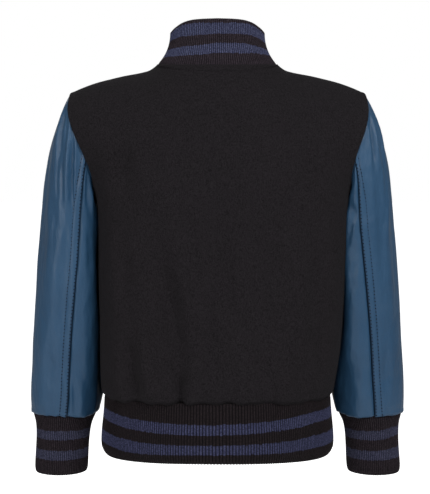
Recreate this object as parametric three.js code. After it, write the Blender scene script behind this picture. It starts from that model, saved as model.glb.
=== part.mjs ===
// A child's varsity jacket, filled out as if worn, with no wearer inside.
// Wool body, two-piece leather sleeves, and striped rib collar, cuffs and waistband, closed by snaps.
// Millimetres. +X is the wearer's left, -Y the front, +Z up. The origin lies between the shoulders,
// at the height where the shoulder seams meet the collar.
import * as THREE from "three";

const { lerp, smoothstep, degToRad } = THREE.MathUtils;
const HALF_TURN = Math.PI;

// Cloth
const WOOL = 2.0;
const LEATHER = 1.8;
const RIB = 2.6;
const COLLAR_RIB = 3.2;
const SEAM_GAP = 0.3;
const MITRE_LIMIT = 1.4;
const SLEEVE_CLEARANCE = 1.3;

// Levels
const HEM_SEAM_Z = -357;
const UNDERARM_Z = -150;
const SHOULDER_TIP_Z = -30;
const NECK_POINT_Z = 1;

// Shoulder and armhole, at the wearer's left
const NECK_HALF = 65;
const SHOULDER_TIP_X = 160.5;
const UNDERARM_X = 137;
const ARMHOLE_TURN_Z = [-130, -45];

// Each half of the body: how far it stands out at the neck and armhole, and how it reaches them
const BACK = { sign: 1, depth: "back", neckDepth: 50, neckZ: -4.5, armhole: 50, scoop: 0 };
const FRONT = { sign: -1, depth: "front", neckDepth: 63, neckZ: -46, armhole: 47, scoop: 4 };
const NECK_SLOPE = { back: { out: -55, up: 62 }, front: { out: -48, up: 62 } };
const CHEST_RISE = { back: 190, front: 125 };
const GIRTH_FILL = 2.3;
const CHEST_FILL = 1.08;
const ARMHOLE_PULL = 100;
const NECK_SHARE = 0.38;
const NECK_SQUARE = 2.3;

// Body sections: half width, depth behind and before the side seams, and sideways lean
const BODY = [
  { z: -357, half: 124.2, back: 89.8, front: 88.5, lean: 0 },
  { z: -352, half: 127.0, back: 93.6, front: 92.0, lean: 0 },
  { z: -340, half: 128.3, back: 95.0, front: 93.5, lean: -0.6 },
  { z: -313, half: 130.6, back: 93.6, front: 92.6, lean: -2.2 },
  { z: -287, half: 132.2, back: 92.0, front: 91.8, lean: -3.3 },
  { z: -234, half: 134.8, back: 90.0, front: 91.5, lean: -4.6 },
  { z: -181, half: 136.6, back: 90.0, front: 92.0, lean: -5.8 },
  { z: -150, half: 137.0, back: 90.5, front: 92.0, lean: -6.0 },
  { z: -118, half: 137.0, back: 90.5, front: 92.0, lean: -4.2 },
  { z: -88, half: 137.0, back: 90.5, front: 92.0, lean: -2.0 },
  { z: -29, half: 137.0, back: 90.5, front: 92.0, lean: 0 },
];

// Height of the shoulder seam, from the neck point out to the tip
const SHOULDER = [
  { x: 65, z: 1 },
  { x: 75, z: -4.4 },
  { x: 104, z: -11 },
  { x: 130, z: -17.4 },
  { x: 150, z: -24.4 },
  { x: 160.5, z: -30 },
];

// Sleeve sections: outer and inner edge, middle and half depth from front to back, and how far the
// seams turn round the sleeve on the wearer's left and right
const SLEEVE = [
  { z: -175, outer: 194.5, inner: 124, middle: -8, depth: 54, left: -7, right: 2 },
  { z: -208, outer: 197.8, inner: 124, middle: -9, depth: 53, left: -5, right: 6 },
  { z: -234, outer: 200.4, inner: 124, middle: -10, depth: 52, left: -2, right: 9 },
  { z: -260, outer: 202.5, inner: 124, middle: -11, depth: 50, left: 1, right: 12 },
  { z: -287, outer: 204.4, inner: 125, middle: -12, depth: 48, left: 3, right: 14 },
  { z: -313, outer: 206.2, inner: 126, middle: -13, depth: 46, left: 4, right: 15 },
  { z: -340, outer: 207.8, inner: 127, middle: -14, depth: 43.5, left: 5, right: 16 },
  { z: -358, outer: 208.6, inner: 128, middle: -14, depth: 42, left: 5, right: 17 },
  { z: -370, outer: 208.7, inner: 130, middle: -14, depth: 40, left: 5, right: 17 },
  { z: -378, outer: 208.0, inner: 132.4, middle: -14, depth: 37, left: 5, right: 17 },
  { z: -382.5, outer: 206.2, inner: 135.0, middle: -14, depth: 34.5, left: 5, right: 17 },
];
const SLEEVE_SQUARE = 2.2;
const CAP_END_Z = SLEEVE[0].z;
const CUFF_SEAM_Z = SLEEVE[SLEEVE.length - 1].z;
const CAP_LEAVES = { ends: 0.5, middle: 0.16, down: -0.87 };
const CAP_ARRIVES = new THREE.Vector3(0.06, 0, -1);
const SLEEVE_SEAM_STEP = 5;

// Cuff and waistband sections
const CUFF = [
  { z: -382.5, outer: 205.6, inner: 135.5, depth: 33.9 },
  { z: -387.5, outer: 204.2, inner: 138.0, depth: 31.6 },
  { z: -394, outer: 202.8, inner: 140.9, depth: 29.4 },
  { z: -405, outer: 202.4, inner: 143.2, depth: 28.0 },
  { z: -425, outer: 203.2, inner: 144.8, depth: 27.6 },
  { z: -445.5, outer: 203.8, inner: 146.0, depth: 27.4 },
  { z: -449.5, outer: 202.4, inner: 147.4, depth: 26.0 },
];
const CUFF_MIDDLE = -14;
const WAISTBAND = [
  { z: -357, half: 123.4, back: 89.2, front: 88.0 },
  { z: -376, half: 124.6, back: 91.0, front: 89.0 },
  { z: -399, half: 126.8, back: 90.2, front: 88.4 },
  { z: -414, half: 126.6, back: 87.6, front: 86.4 },
  { z: -420, half: 122.8, back: 83.2, front: 82.4 },
];

// Rib collar: its upper edge and inward lean, from the centre back (0) by the side (1) to the front (2)
const COLLAR = [
  { way: 0, top: 45.2, lean: 8 },
  { way: 0.3, top: 44.4, lean: 9 },
  { way: 0.45, top: 42.3, lean: 10 },
  { way: 0.6, top: 38.4, lean: 11.3 },
  { way: 0.75, top: 35.5, lean: 12.6 },
  { way: 1, top: 34.4, lean: 14.5 },
  { way: 1.2, top: 30.2, lean: 13.5 },
  { way: 1.45, top: 18.5, lean: 11 },
  { way: 1.7, top: 3, lean: 9 },
  { way: 2, top: -15, lean: 7 },
];
const COLLAR_CURVE = 2.2;
const COLLAR_END_SHARE = 0.035;
const COLLAR_CORNER = { share: 0.22, low: 0.55, power: 2.5 };

// Raised ribs: how many stand on each piece, and how high
const RIBS = { collar: 42, waistband: 84, cuff: 20, height: 0.8 };

// Front closure
const OVERLAP = 0.05;
const LIFT_ENDS = 0.13;
const LIFT = WOOL + 0.5;
const BAND_LIFT = RIB + RIBS.height + 0.5;
const LAP_NOTCH = [4, 1.5];
const SNAP = { radius: 6.5, rim: 1.0, dome: 2.4, gap: 0.45, sides: 20 };
const SNAP_ROWS = [0.62, 0.1, -0.22, -0.53, -0.84];
const SNAP_BAND_Z = -386;

// Long soft folds in the leather, by angle round the sleeve and length along it
const FOLD_LIMIT = 2.5;
const SLEEVE_FOLDS = [
  { angle: 118, from: 0.15, to: 1.3, width: 13, depth: 2.2 },
  { angle: 150, from: 0.1, to: 1.1, width: 12, depth: 1.8 },
  { angle: 98, from: 0.05, to: 0.75, width: 10, depth: 1.8 },
  { angle: 240, from: 0.1, to: 1.2, width: 13, depth: 2.0 },
  { angle: 45, from: 1.35, to: 1.85, width: 16, depth: 2.0 },
];

const FINISH = {
  wool: { color: 0x1d1b1e, roughness: 0.95 },
  leather: { color: 0x3c5a76, roughness: 0.45 },
  rib: { color: 0x2a262c, roughness: 0.9 },
  snap: { color: 0x20242c, roughness: 0.35, metalness: 0.6 },
};

const point = (x, y, z) => new THREE.Vector3(x, y, z);

// Weights of a cubic that leaves one point and arrives at another with given tangents.
function cubic(t) {
  const t2 = t * t;
  const t3 = t2 * t;
  const reach = 3 * t2 - 2 * t3;
  return { leave: 1 - reach, leaveTangent: t3 - 2 * t2 + t, reach, reachTangent: t3 - t2 };
}

// A column of a table, read smoothly at any value of its key.
function read(table, column, at, key = "z") {
  const rows = table[0][key] < table[table.length - 1][key] ? table : [...table].reverse();
  const last = rows.length - 1;
  if (at <= rows[0][key]) return rows[0][column];
  if (at >= rows[last][key]) return rows[last][column];
  const i = rows.findIndex((row) => row[key] > at) - 1;
  const slope = (k) => {
    const a = rows[Math.max(k - 1, 0)];
    const b = rows[Math.min(k + 1, last)];
    return (b[column] - a[column]) / (b[key] - a[key]);
  };
  const span = rows[i + 1][key] - rows[i][key];
  const w = cubic((at - rows[i][key]) / span);
  const ends = w.leave * rows[i][column] + w.reach * rows[i + 1][column];
  return ends + span * (w.leaveTangent * slope(i) + w.reachTangent * slope(i + 1));
}

const lean = (z) => read(BODY, "lean", z);
const squareness = (angle, power) =>
  (Math.abs(Math.cos(angle)) ** power + Math.abs(Math.sin(angle)) ** power) ** (-1 / power);

// A quarter of a level ring, from the centre line (u = 0) to the side seam (u = 1).
function quarterRing(u, half, depth) {
  const w = cubic(u);
  return {
    x: half * (w.reach + GIRTH_FILL * w.leaveTangent),
    y: depth * (w.leave - GIRTH_FILL * w.reachTangent),
  };
}

// The armhole seam at the wearer's left, from the underarm (0) over this half to the shoulder tip.
function armholeSeam(half, angle) {
  const z = lerp(UNDERARM_Z, SHOULDER_TIP_Z, (1 - Math.cos(angle)) / 2);
  const turned = smoothstep(z, ...ARMHOLE_TURN_Z);
  const x = lerp(UNDERARM_X, SHOULDER_TIP_X, turned) - half.scoop * Math.sin(angle) ** 2;
  return point(x, half.sign * half.armhole * Math.sin(angle), z);
}

// The neckline, from the centre line (0) to the neck point (1).
function neckline(half, share) {
  const angle = ((1 - share) * HALF_TURN) / 2;
  const k = squareness(angle, NECK_SQUARE);
  const height = lerp(NECK_POINT_Z, half.neckZ, Math.sin(angle));
  return point(NECK_HALF * Math.cos(angle) * k, half.sign * half.neckDepth * Math.sin(angle) * k, height);
}

// The upper edge of a panel: the neckline, then the shoulder seam.
function topEdge(half, u) {
  if (u <= NECK_SHARE) return neckline(half, u / NECK_SHARE);
  const x = lerp(NECK_HALF, SHOULDER_TIP_X, (u - NECK_SHARE) / (1 - NECK_SHARE));
  return point(x, 0, read(SHOULDER, "z", x, "x"));
}

// A row across a panel above the underarm, before it is drawn to the neckline and shoulder.
function chestRow(half, u, v) {
  const along = cubic(v);
  const across = cubic(u);
  const slope = NECK_SLOPE[half.depth];
  const depth = read(BODY, half.depth, UNDERARM_Z);
  const centreY = depth * along.leave + half.neckDepth * along.reach + slope.out * along.reachTangent;
  const rise = CHEST_RISE[half.depth] * along.leaveTangent + slope.up * along.reachTangent;
  const centreZ = UNDERARM_Z * along.leave + half.neckZ * along.reach + rise;
  const seam = armholeSeam(half, v * HALF_TURN);
  const turn = (smoothstep(v, 0, 1) * HALF_TURN) / 2;
  const pull = lerp(GIRTH_FILL * depth, ARMHOLE_PULL, smoothstep(v, 0, 0.3));
  const spread = lerp(GIRTH_FILL, CHEST_FILL, smoothstep(v, 0, 0.5)) * seam.x;
  const arrives = { x: pull * Math.sin(turn), out: -pull * Math.cos(turn) };
  const x = seam.x * across.reach + spread * across.leaveTangent + arrives.x * across.reachTangent;
  const out = centreY * across.leave + Math.abs(seam.y) * across.reach + arrives.out * across.reachTangent;
  const z = lerp(centreZ, seam.z, smoothstep(u, 0, lerp(1, 0.7, v)));
  return point(x, half.sign * out, z);
}

// A panel's surface. u runs from the centre line to the wearer's left side, and negative to the right.
// v runs from the waistband (-1) to the underarm (0) and on to the neckline and shoulder (1).
function bodySurface(half, u, v) {
  const side = Math.sign(u) || 1;
  const reach = Math.abs(u);
  let p;
  if (v <= 0) {
    const z = lerp(UNDERARM_Z, HEM_SEAM_Z, -v);
    const ring = quarterRing(reach, read(BODY, "half", z), read(BODY, half.depth, z));
    p = point(ring.x, half.sign * ring.y, z);
  } else {
    p = chestRow(half, reach, v);
    const drawn = topEdge(half, reach).sub(chestRow(half, reach, 1));
    p.add(point(drawn.x * v ** 3, drawn.y * v ** 3, drawn.z * smoothstep(v, 0, 1)));
  }
  return point(side * p.x + lean(p.z), p.y, p.z);
}

// How far the body reaches sideways at a given depth, below the underarm.
function flank(y, z, side) {
  const level = Math.min(z, UNDERARM_Z);
  const half = y > 0 ? BACK : FRONT;
  const width = read(BODY, "half", level);
  const depth = read(BODY, half.depth, level);
  let low = 0;
  let high = 1;
  for (let i = 0; i < 24; i++) {
    const middle = (low + high) / 2;
    if (quarterRing(middle, width, depth).y > Math.abs(y)) low = middle;
    else high = middle;
  }
  return quarterRing(low, width, depth).x + side * lean(level);
}

// The larger of two numbers, with the corner between them rounded.
function softMax(a, b, round) {
  const over = a - b;
  if (over > round) return a;
  if (over < -round) return b;
  return b + (over + round) ** 2 / (4 * round);
}

// A level section of a sleeve or cuff. The angle is 0 at the body, 180 outside, 90 behind.
function tubeSection(row, angle, square) {
  const k = squareness(angle, square);
  const x = (row.outer + row.inner) / 2 - ((row.outer - row.inner) / 2) * Math.cos(angle) * k;
  return point(x, row.middle + row.depth * Math.sin(angle) * k, row.z);
}

function sleeveSection(z, angle, side) {
  const row = { z, middle: read(SLEEVE, "middle", z), depth: read(SLEEVE, "depth", z) };
  row.outer = read(SLEEVE, "outer", z);
  row.inner = read(SLEEVE, "inner", z);
  const turned = angle + degToRad(read(SLEEVE, side > 0 ? "left" : "right", z)) * Math.sin(angle);
  const p = tubeSection(row, turned, SLEEVE_SQUARE);
  if (z > HEM_SEAM_Z) p.x = softMax(p.x, flank(p.y, z, side) + SLEEVE_CLEARANCE, 2);
  return p;
}

// Depth of the leather's folds at a place on the sleeve.
function foldDepth(angle, along) {
  const degrees = (((angle / HALF_TURN) * 180) % 360 + 360) % 360;
  return SLEEVE_FOLDS.reduce((sum, fold) => {
    const middle = (fold.from + fold.to) / 2;
    const reach = (fold.to - fold.from) / 2;
    const away = ((degrees - fold.angle) / fold.width) ** 2 + ((along - middle) / reach) ** 4;
    return sum + fold.depth * Math.exp(-away);
  }, 0);
}

// A sleeve's surface. along runs from the armhole (0) to the end of the cap (1) and the cuff seam (2).
function sleeveSurface(side, angle, along) {
  if (along >= 1) {
    const p = sleeveSection(lerp(CAP_END_Z, CUFF_SEAM_Z, along - 1), angle, side);
    return point(side * p.x, p.y, p.z);
  }
  const behind = Math.sin(angle) >= 0;
  const start = armholeSeam(behind ? BACK : FRONT, Math.acos(Math.cos(angle)));
  start.x += side * lean(start.z);
  const end = sleeveSection(CAP_END_Z, angle, side);
  const reach = start.distanceTo(end);
  const w = cubic(along);
  const p = start.multiplyScalar(w.leave).addScaledVector(end, w.reach);
  const leaves = point(lerp(CAP_LEAVES.ends, CAP_LEAVES.middle, Math.sin(angle) ** 2), 0, CAP_LEAVES.down);
  p.addScaledVector(leaves, reach * w.leaveTangent).addScaledVector(CAP_ARRIVES, reach * w.reachTangent);
  return point(side * p.x, p.y, p.z);
}

// The outward direction of a surface at a place on it.
function facing(surface, column, row, columns, rows, sign) {
  const step = 1e-3;
  const within = (value, list) => Math.min(Math.max(value, Math.min(...list)), Math.max(...list));
  const atColumn = (shift) => surface(within(column + shift, columns), row);
  const atRow = (shift) => surface(column, within(row + shift, rows));
  const across = atColumn(step).sub(atColumn(-step));
  return across.cross(atRow(step).sub(atRow(-step))).normalize().multiplyScalar(sign);
}

// Where two pieces meet: the seam's line, the direction in which both walls turn in there,
// and the way across the seam, towards the second piece.
function join(at, tangent, normals, towards) {
  const shared = normals[0].clone().add(normals[1]).normalize();
  const across = tangent.clone().cross(shared).normalize();
  if (across.dot(towards) < 0) across.negate();
  return { at, shared, across, stretch: Math.min(1 / shared.dot(normals[0]), MITRE_LIMIT) };
}

// A wall's edge at such a seam. way is -1 for the first piece and 1 for the second.
function mitred({ at, shared, across, stretch }, thick, way) {
  const outer = at.clone().addScaledVector(across, (way * SEAM_GAP) / 2);
  return { outer, inner: outer.clone().addScaledVector(shared, -thick * stretch) };
}

const none = () => 0;

// Outer and inner points of a cloth wall on a surface, sampled at columns and rows.
// relief(column, row) raises the outer points alone, lift moves both, and level rows end flat.
function layCloth({ surface, columns, rows, thick, sign, relief = none, lift = none, level = [], round }) {
  const reach = round ? [-Infinity, Infinity] : columns;
  return rows.map((row) =>
    columns.map((column, i) => {
      const normal = facing(surface, column, row, reach, rows, sign);
      if (level.includes(row)) normal.setZ(0).normalize();
      const base = surface(column, row).addScaledVector(normal, lift(column, row));
      return {
        outer: base.clone().addScaledVector(normal, relief(column, row, i)),
        inner: base.clone().addScaledVector(normal, -thick),
      };
    }),
  );
}

// Draws an edge of the grid back towards the cloth's next line, square to the edge, for the gap at a seam.
function drawBack(edge, next) {
  const shifts = edge.map((cell, i) => {
    const [before, after] = [edge[Math.max(i - 1, 0)], edge[Math.min(i + 1, edge.length - 1)]];
    const through = cell.outer.clone().sub(cell.inner);
    const across = after.outer.clone().sub(before.outer).cross(through).normalize();
    if (across.dot(next[i].outer.clone().sub(cell.outer)) < 0) across.negate();
    return across.multiplyScalar(SEAM_GAP / 2);
  });
  edge.forEach((cell, i) => [cell.outer, cell.inner].forEach((face) => face.add(shifts[i])));
}

const columnOf = (grid, i) => grid.map((row) => row.at(i));

// One closed solid from a grid of outer and inner points. A round wall's last column meets its first.
function closeWall(grid, round = false) {
  const rows = grid.length;
  const columns = grid[0].length;
  const lastColumn = columns - (round ? 0 : 1);
  const positions = grid.flat().flatMap(({ outer, inner }) => [outer, inner]);
  const at = (r, c, inner) => 2 * (r * columns + (c % columns)) + inner;
  const skins = [];
  const rims = [];
  for (let r = 0; r + 1 < rows; r++)
    for (let c = 0; c < lastColumn; c++) {
      skins.push([at(r, c, 0), at(r, c + 1, 0), at(r + 1, c + 1, 0), at(r + 1, c, 0)]);
      skins.push([at(r, c, 1), at(r + 1, c, 1), at(r + 1, c + 1, 1), at(r, c + 1, 1)]);
    }
  for (let c = 0; c < lastColumn; c++) {
    rims.push([at(0, c, 1), at(0, c + 1, 1), at(0, c + 1, 0), at(0, c, 0)]);
    rims.push([at(rows - 1, c, 0), at(rows - 1, c + 1, 0), at(rows - 1, c + 1, 1), at(rows - 1, c, 1)]);
  }
  const last = columns - 1;
  for (let r = 0; r + 1 < rows && !round; r++) {
    rims.push([at(r, 0, 0), at(r + 1, 0, 0), at(r + 1, 0, 1), at(r, 0, 1)]);
    rims.push([at(r, last, 1), at(r + 1, last, 1), at(r + 1, last, 0), at(r, last, 0)]);
  }
  return faceOutwards(positions, skins, rims);
}

const volumeOf = (a, b, c, d) => b.clone().sub(a).cross(c.clone().sub(a)).dot(d.clone().sub(a));

// Splits the quads into triangles that face out: a skin along its shorter diagonal, and a twisted rim
// on its hollow side, so that it stays behind the seam's middle.
function faceOutwards(positions, skins, rims) {
  const centre = point(0, 0, 0);
  const volume = [...skins, ...rims].reduce((sum, [a, b, c, d]) => {
    const [p, q, r, s] = [a, b, c, d].map((i) => positions[i]);
    return sum + volumeOf(centre, p, q, r) + volumeOf(centre, p, r, s);
  }, 0);
  const turned = (quad) => (volume < 0 ? [...quad].reverse() : quad);
  const split = ([a, b, c, d], other) => (other ? [b, c, d, b, d, a] : [a, b, c, a, c, d]);
  const across = (a, b) => positions[a].distanceTo(positions[b]);
  const splitShort = (quad) => split(quad, across(quad[1], quad[3]) < across(quad[0], quad[2]) - 1e-3);
  const splitHollow = (quad) => split(quad, volumeOf(...quad.map((i) => positions[i])) < 0);
  const faces = [...skins.map(turned).flatMap(splitShort), ...rims.map(turned).flatMap(splitHollow)];
  const geometry = new THREE.BufferGeometry().setFromPoints(positions);
  geometry.setIndex(faces);
  geometry.computeVertexNormals();
  return geometry;
}

function piece(name, geometry, finish) {
  const mesh = new THREE.Mesh(geometry, new THREE.MeshStandardMaterial(finish));
  mesh.name = name;
  return mesh;
}

const steps = (from, to, count) => Array.from({ length: count + 1 }, (_, i) => lerp(from, to, i / count));

// Where the panels' rows and columns lie. The armhole's rows are the sleeve's columns.
const UPPER_ROWS = 12;
const PANEL_ROWS = [-1, -0.97, -0.91, -0.75, -0.5, -0.25, ...steps(0, 1, UPPER_ROWS)];
const NECK_STEPS = 7;
const NECK_COLUMNS = steps(0, NECK_SHARE, NECK_STEPS);
const QUARTER = [...NECK_COLUMNS, ...steps(NECK_SHARE, 0.96, 6).slice(1), 1];
const MIRRORED = [...QUARTER.slice(1).reverse().map((u) => -u), ...QUARTER];
const UP = point(0, 0, 1);

// The left front's edge stands out over the right one.
const lapLift = (u) => LIFT * (1 - smoothstep(u, OVERLAP + 0.015, LIFT_ENDS));

function panelNormal(half, u, v) {
  const surface = (column, row) => bodySurface(half, column, row);
  return facing(surface, u, v, [-1, 1], [-1, 1], -half.sign);
}

// The seam between the body and a sleeve, at an angle round the armhole.
function armholeJoin(side, angle, half = Math.sin(angle) >= 0 ? BACK : FRONT) {
  const v = Math.acos(Math.cos(angle)) / HALF_TURN;
  const sleeve = (column, row) => sleeveSurface(side, column, row);
  const wool = panelNormal(half, side, v);
  const leather = facing(sleeve, angle, 0, [angle - 1, angle + 1], [0, 2], side);
  const step = 0.02;
  const tangent = sleeve(angle + step, 0).sub(sleeve(angle - step, 0));
  if (v < 1e-6 || v > 1 - 1e-6) [wool, leather, tangent].forEach(flatten);
  const at = bodySurface(half, side, v);
  return join(at, tangent, [wool, leather], sleeve(angle, 0.1).sub(at));
}

// At the underarm and the shoulder tip the seam runs straight from back to front.
function flatten(direction) {
  if (Math.abs(direction.y) > Math.hypot(direction.x, direction.z)) direction.set(0, 1, 0);
  else direction.setY(0).normalize();
}

// The seam between a panel and the collar.
function neckJoin(half, u, lift) {
  const wool = panelNormal(half, u, 1);
  const at = bodySurface(half, u, 1).addScaledVector(wool, lift);
  const outwards = point(at.x, at.y, 0).normalize();
  const step = 0.01;
  const reach = Math.min(Math.abs(u) + step, NECK_SHARE);
  const side = Math.sign(u) || 1;
  const tangent = bodySurface(half, side * reach, 1).sub(bodySurface(half, side * (reach - 2 * step), 1));
  if (Math.abs(u) === NECK_SHARE) {
    wool.add(panelNormal(half === BACK ? FRONT : BACK, u, 1));
    [wool, outwards, tangent].forEach(flatten);
  }
  return join(at, tangent, [wool, outwards], UP);
}

// Sets a panel's edges against its neighbours: the collar, the other panel, and the sleeves.
function seamPanel(grid, half, columns, lift) {
  const top = grid.length - 1;
  grid.forEach((row, r) =>
    row.forEach((cell, c) => {
      const [u, v] = [columns[c], PANEL_ROWS[r]];
      const onSeam = Math.abs(u) === 1;
      const onNeck = r === top && Math.abs(u) <= NECK_SHARE;
      if (onNeck) Object.assign(cell, mitred(neckJoin(half, u, lift(u)), WOOL, -1));
      if (onSeam && v >= 0) {
        const angle = half.sign * HALF_TURN * v;
        Object.assign(cell, mitred(armholeJoin(Math.sign(u), angle, half), WOOL, -1));
      }
      const onMiddlePlane = (r === top && Math.abs(u) >= NECK_SHARE) || (onSeam && v <= 0);
      if (onMiddlePlane) for (const face of ["outer", "inner"]) cell[face].y = (half.sign * SEAM_GAP) / 2;
    }),
  );
  drawBack(grid[0], grid[1]);
}

function bodyPanel(name, half, columns, lift = () => 0) {
  const grid = layCloth({
    surface: (u, v) => bodySurface(half, u, v),
    columns,
    rows: PANEL_ROWS,
    thick: WOOL,
    sign: -half.sign,
    lift,
    level: [PANEL_ROWS[0]],
  });
  seamPanel(grid, half, columns, lift);
  if (lift(0)) cutNotch(grid.at(-1), grid.at(-2));
  return piece(name, closeWall(grid), FINISH.wool);
}

// The lapped edge stops just short of the collar's far end.
function cutNotch(edge, next) {
  LAP_NOTCH.forEach((depth, i) => {
    const down = next[i].outer.clone().sub(edge[i].outer).setLength(depth);
    [edge[i].outer, edge[i].inner].forEach((face) => face.add(down));
  });
}

function frontPanel(side) {
  const quarter = [-OVERLAP, ...QUARTER].map((u) => side * u);
  if (side > 0) return bodyPanel("front_left", FRONT, quarter, lapLift);
  return bodyPanel("front_right", FRONT, quarter.reverse());
}

const CAP_ROWS = [0, 0.12, 0.28, 0.46, 0.64, 0.82, 1];
const SLEEVE_LEVELS = [-205, -235, -265, -295, -325, -350, -364, -375, CUFF_SEAM_Z];
const alongAt = (z) => 1 + (z - CAP_END_Z) / (CUFF_SEAM_Z - CAP_END_Z);
const SLEEVE_ROWS = [...CAP_ROWS, ...SLEEVE_LEVELS.map(alongAt)];

function sleevePanel(side, part) {
  const step = HALF_TURN / UPPER_ROWS;
  const seam = SLEEVE_SEAM_STEP;
  const first = part === "under" ? -seam : seam;
  const count = part === "under" ? 2 * seam : 2 * (UPPER_ROWS - seam);
  const columns = steps(first * step, (first + count) * step, count);
  const grid = layCloth({
    surface: (angle, along) => sleeveSurface(side, angle, along),
    columns,
    rows: SLEEVE_ROWS,
    thick: LEATHER,
    sign: side,
    relief: (angle, along) => -Math.min(foldDepth(angle, along), FOLD_LIMIT) * smoothstep(along, 0, 0.25),
    level: [SLEEVE_ROWS.at(-1)],
  });
  grid.flat().forEach(followFold);
  grid[0] = columns.map((angle) => mitred(armholeJoin(side, angle), LEATHER, 1));
  drawBack(grid.at(-1), grid.at(-2));
  drawBack(columnOf(grid, 0), columnOf(grid, 1));
  drawBack(columnOf(grid, -1), columnOf(grid, -2));
  const name = `sleeve_${side > 0 ? "left" : "right"}_${part}`;
  return piece(name, closeWall(grid), FINISH.leather);
}

// The inside of the leather dips with the outside, so that the wall keeps its thickness.
function followFold(cell) {
  const inwards = cell.inner.clone().sub(cell.outer).normalize();
  cell.inner.copy(cell.outer).addScaledVector(inwards, LEATHER);
}

// Every other column of a knitted band stands proud.
const knitRelief = (_column, _row, i) => (i % 2 ? RIBS.height / 2 : -RIBS.height / 2);

function cuff(side) {
  const columns = steps(0, 2 * HALF_TURN, 2 * RIBS.cuff).slice(0, -1);
  const levels = CUFF.map((row) => row.z);
  const surface = (angle, z) => {
    const row = { z, middle: CUFF_MIDDLE, depth: read(CUFF, "depth", z) };
    row.outer = read(CUFF, "outer", z);
    row.inner = read(CUFF, "inner", z);
    const p = tubeSection(row, angle, 2);
    return point(side * p.x, p.y, p.z);
  };
  const grid = layCloth({
    surface,
    columns,
    rows: levels,
    thick: RIB,
    sign: -side,
    relief: knitRelief,
    level: [levels[0]],
    round: true,
  });
  drawBack(grid[0], grid[1]);
  return piece(side > 0 ? "cuff_left" : "cuff_right", closeWall(grid, true), FINISH.rib);
}

// A point round the waistband. way is 0 at the centre front, 1 at the wearer's right side,
// 2 behind, 3 at the left side and 4 at the centre front again.
function bandSurface(way, z) {
  const turn = ((way % 4) + 4) % 4;
  const quarter = Math.floor(turn);
  const u = quarter % 2 ? quarter + 1 - turn : turn - quarter;
  const half = quarter === 0 || quarter === 3 ? FRONT : BACK;
  const ring = quarterRing(u, read(WAISTBAND, "half", z), read(WAISTBAND, half.depth, z));
  return point((quarter < 2 ? -1 : 1) * ring.x, half.sign * ring.y, z);
}

function waistband() {
  const columns = steps(-OVERLAP, 4 + OVERLAP, 2 * RIBS.waistband);
  const levels = WAISTBAND.map((row) => row.z);
  const grid = layCloth({
    surface: bandSurface,
    columns,
    rows: levels,
    thick: RIB,
    sign: -1,
    relief: knitRelief,
    lift: (way) => BAND_LIFT * smoothstep(way, 4 - LIFT_ENDS, 4 - OVERLAP - 0.015),
    level: [levels[0]],
  });
  drawBack(grid[0], grid[1]);
  return piece("waistband", closeWall(grid), FINISH.rib);
}

// The collar's seat follows the panels' own straight steps, so that it lies along them all round.
function neckSeat(way) {
  const side = way < 0 ? -1 : 1;
  const reach = Math.abs(way);
  const half = reach <= 1 ? BACK : FRONT;
  const share = (reach <= 1 ? reach : 2 - reach) * NECK_STEPS;
  const step = Math.min(Math.floor(share), NECK_STEPS - 1);
  const seats = [step, step + 1].map((i) => {
    const lift = half === FRONT && side > 0 ? lapLift(NECK_COLUMNS[i]) : 0;
    const seam = neckJoin(half, side * NECK_COLUMNS[i], lift);
    return { at: seam.at, ...mitred(seam, COLLAR_RIB, 1) };
  });
  const between = (key) => seats[0][key].clone().lerp(seats[1][key], share - step);
  return { at: between("at"), outer: between("outer"), inner: between("inner") };
}

function collarSurface(way, up) {
  const base = neckSeat(way).at;
  const end = 2 - COLLAR_END_SHARE;
  const fromEnd = Math.min((end - Math.abs(way)) / COLLAR_CORNER.share, 1);
  const { low, power } = COLLAR_CORNER;
  const corner = lerp(low, 1, (1 - (1 - Math.max(fromEnd, 0)) ** power) ** (1 / power));
  const height = (read(COLLAR, "top", Math.abs(way), "way") - base.z) * corner;
  const inwards = read(COLLAR, "lean", Math.abs(way), "way") * (1 - (1 - up) ** COLLAR_CURVE);
  const plan = Math.hypot(base.x, base.y);
  return point(base.x - (base.x / plan) * inwards, base.y - (base.y / plan) * inwards, base.z + height * up);
}

function collar() {
  const end = 2 - COLLAR_END_SHARE;
  const frontHalf = steps(1, end, RIBS.collar / 2);
  const backHalf = steps(-1, 1, RIBS.collar).slice(1, -1);
  const columns = [...frontHalf.map((way) => -way).reverse(), ...backHalf, ...frontHalf];
  const grid = layCloth({
    surface: collarSurface,
    columns,
    rows: [0, 0.25, 0.55, 0.94, 1],
    thick: COLLAR_RIB,
    sign: -1,
    relief: (way, up, i) => (up === 1 ? -0.9 : knitRelief(way, up, i) * Math.min(1, 4 * up)),
  });
  grid[0] = columns.map((way) => neckSeat(way));
  return piece("collar", closeWall(grid), FINISH.rib);
}

// A domed snap cap, laid on the lapped edge along its outward direction.
function snapCap(index, place, outward) {
  const { radius, rim, dome, gap, sides } = SNAP;
  const profile = [
    [0, 0],
    [radius, 0],
    [radius, rim],
    [radius * 0.86, rim * 1.5],
    [radius * 0.5, dome * 0.93],
    [0, dome],
  ].map(([r, height]) => new THREE.Vector2(r, height));
  const mesh = piece(`snap_${index}`, new THREE.LatheGeometry(profile, sides), FINISH.snap);
  mesh.quaternion.setFromUnitVectors(point(0, 1, 0), outward);
  mesh.position.copy(place).addScaledVector(outward, gap);
  return mesh;
}

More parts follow.
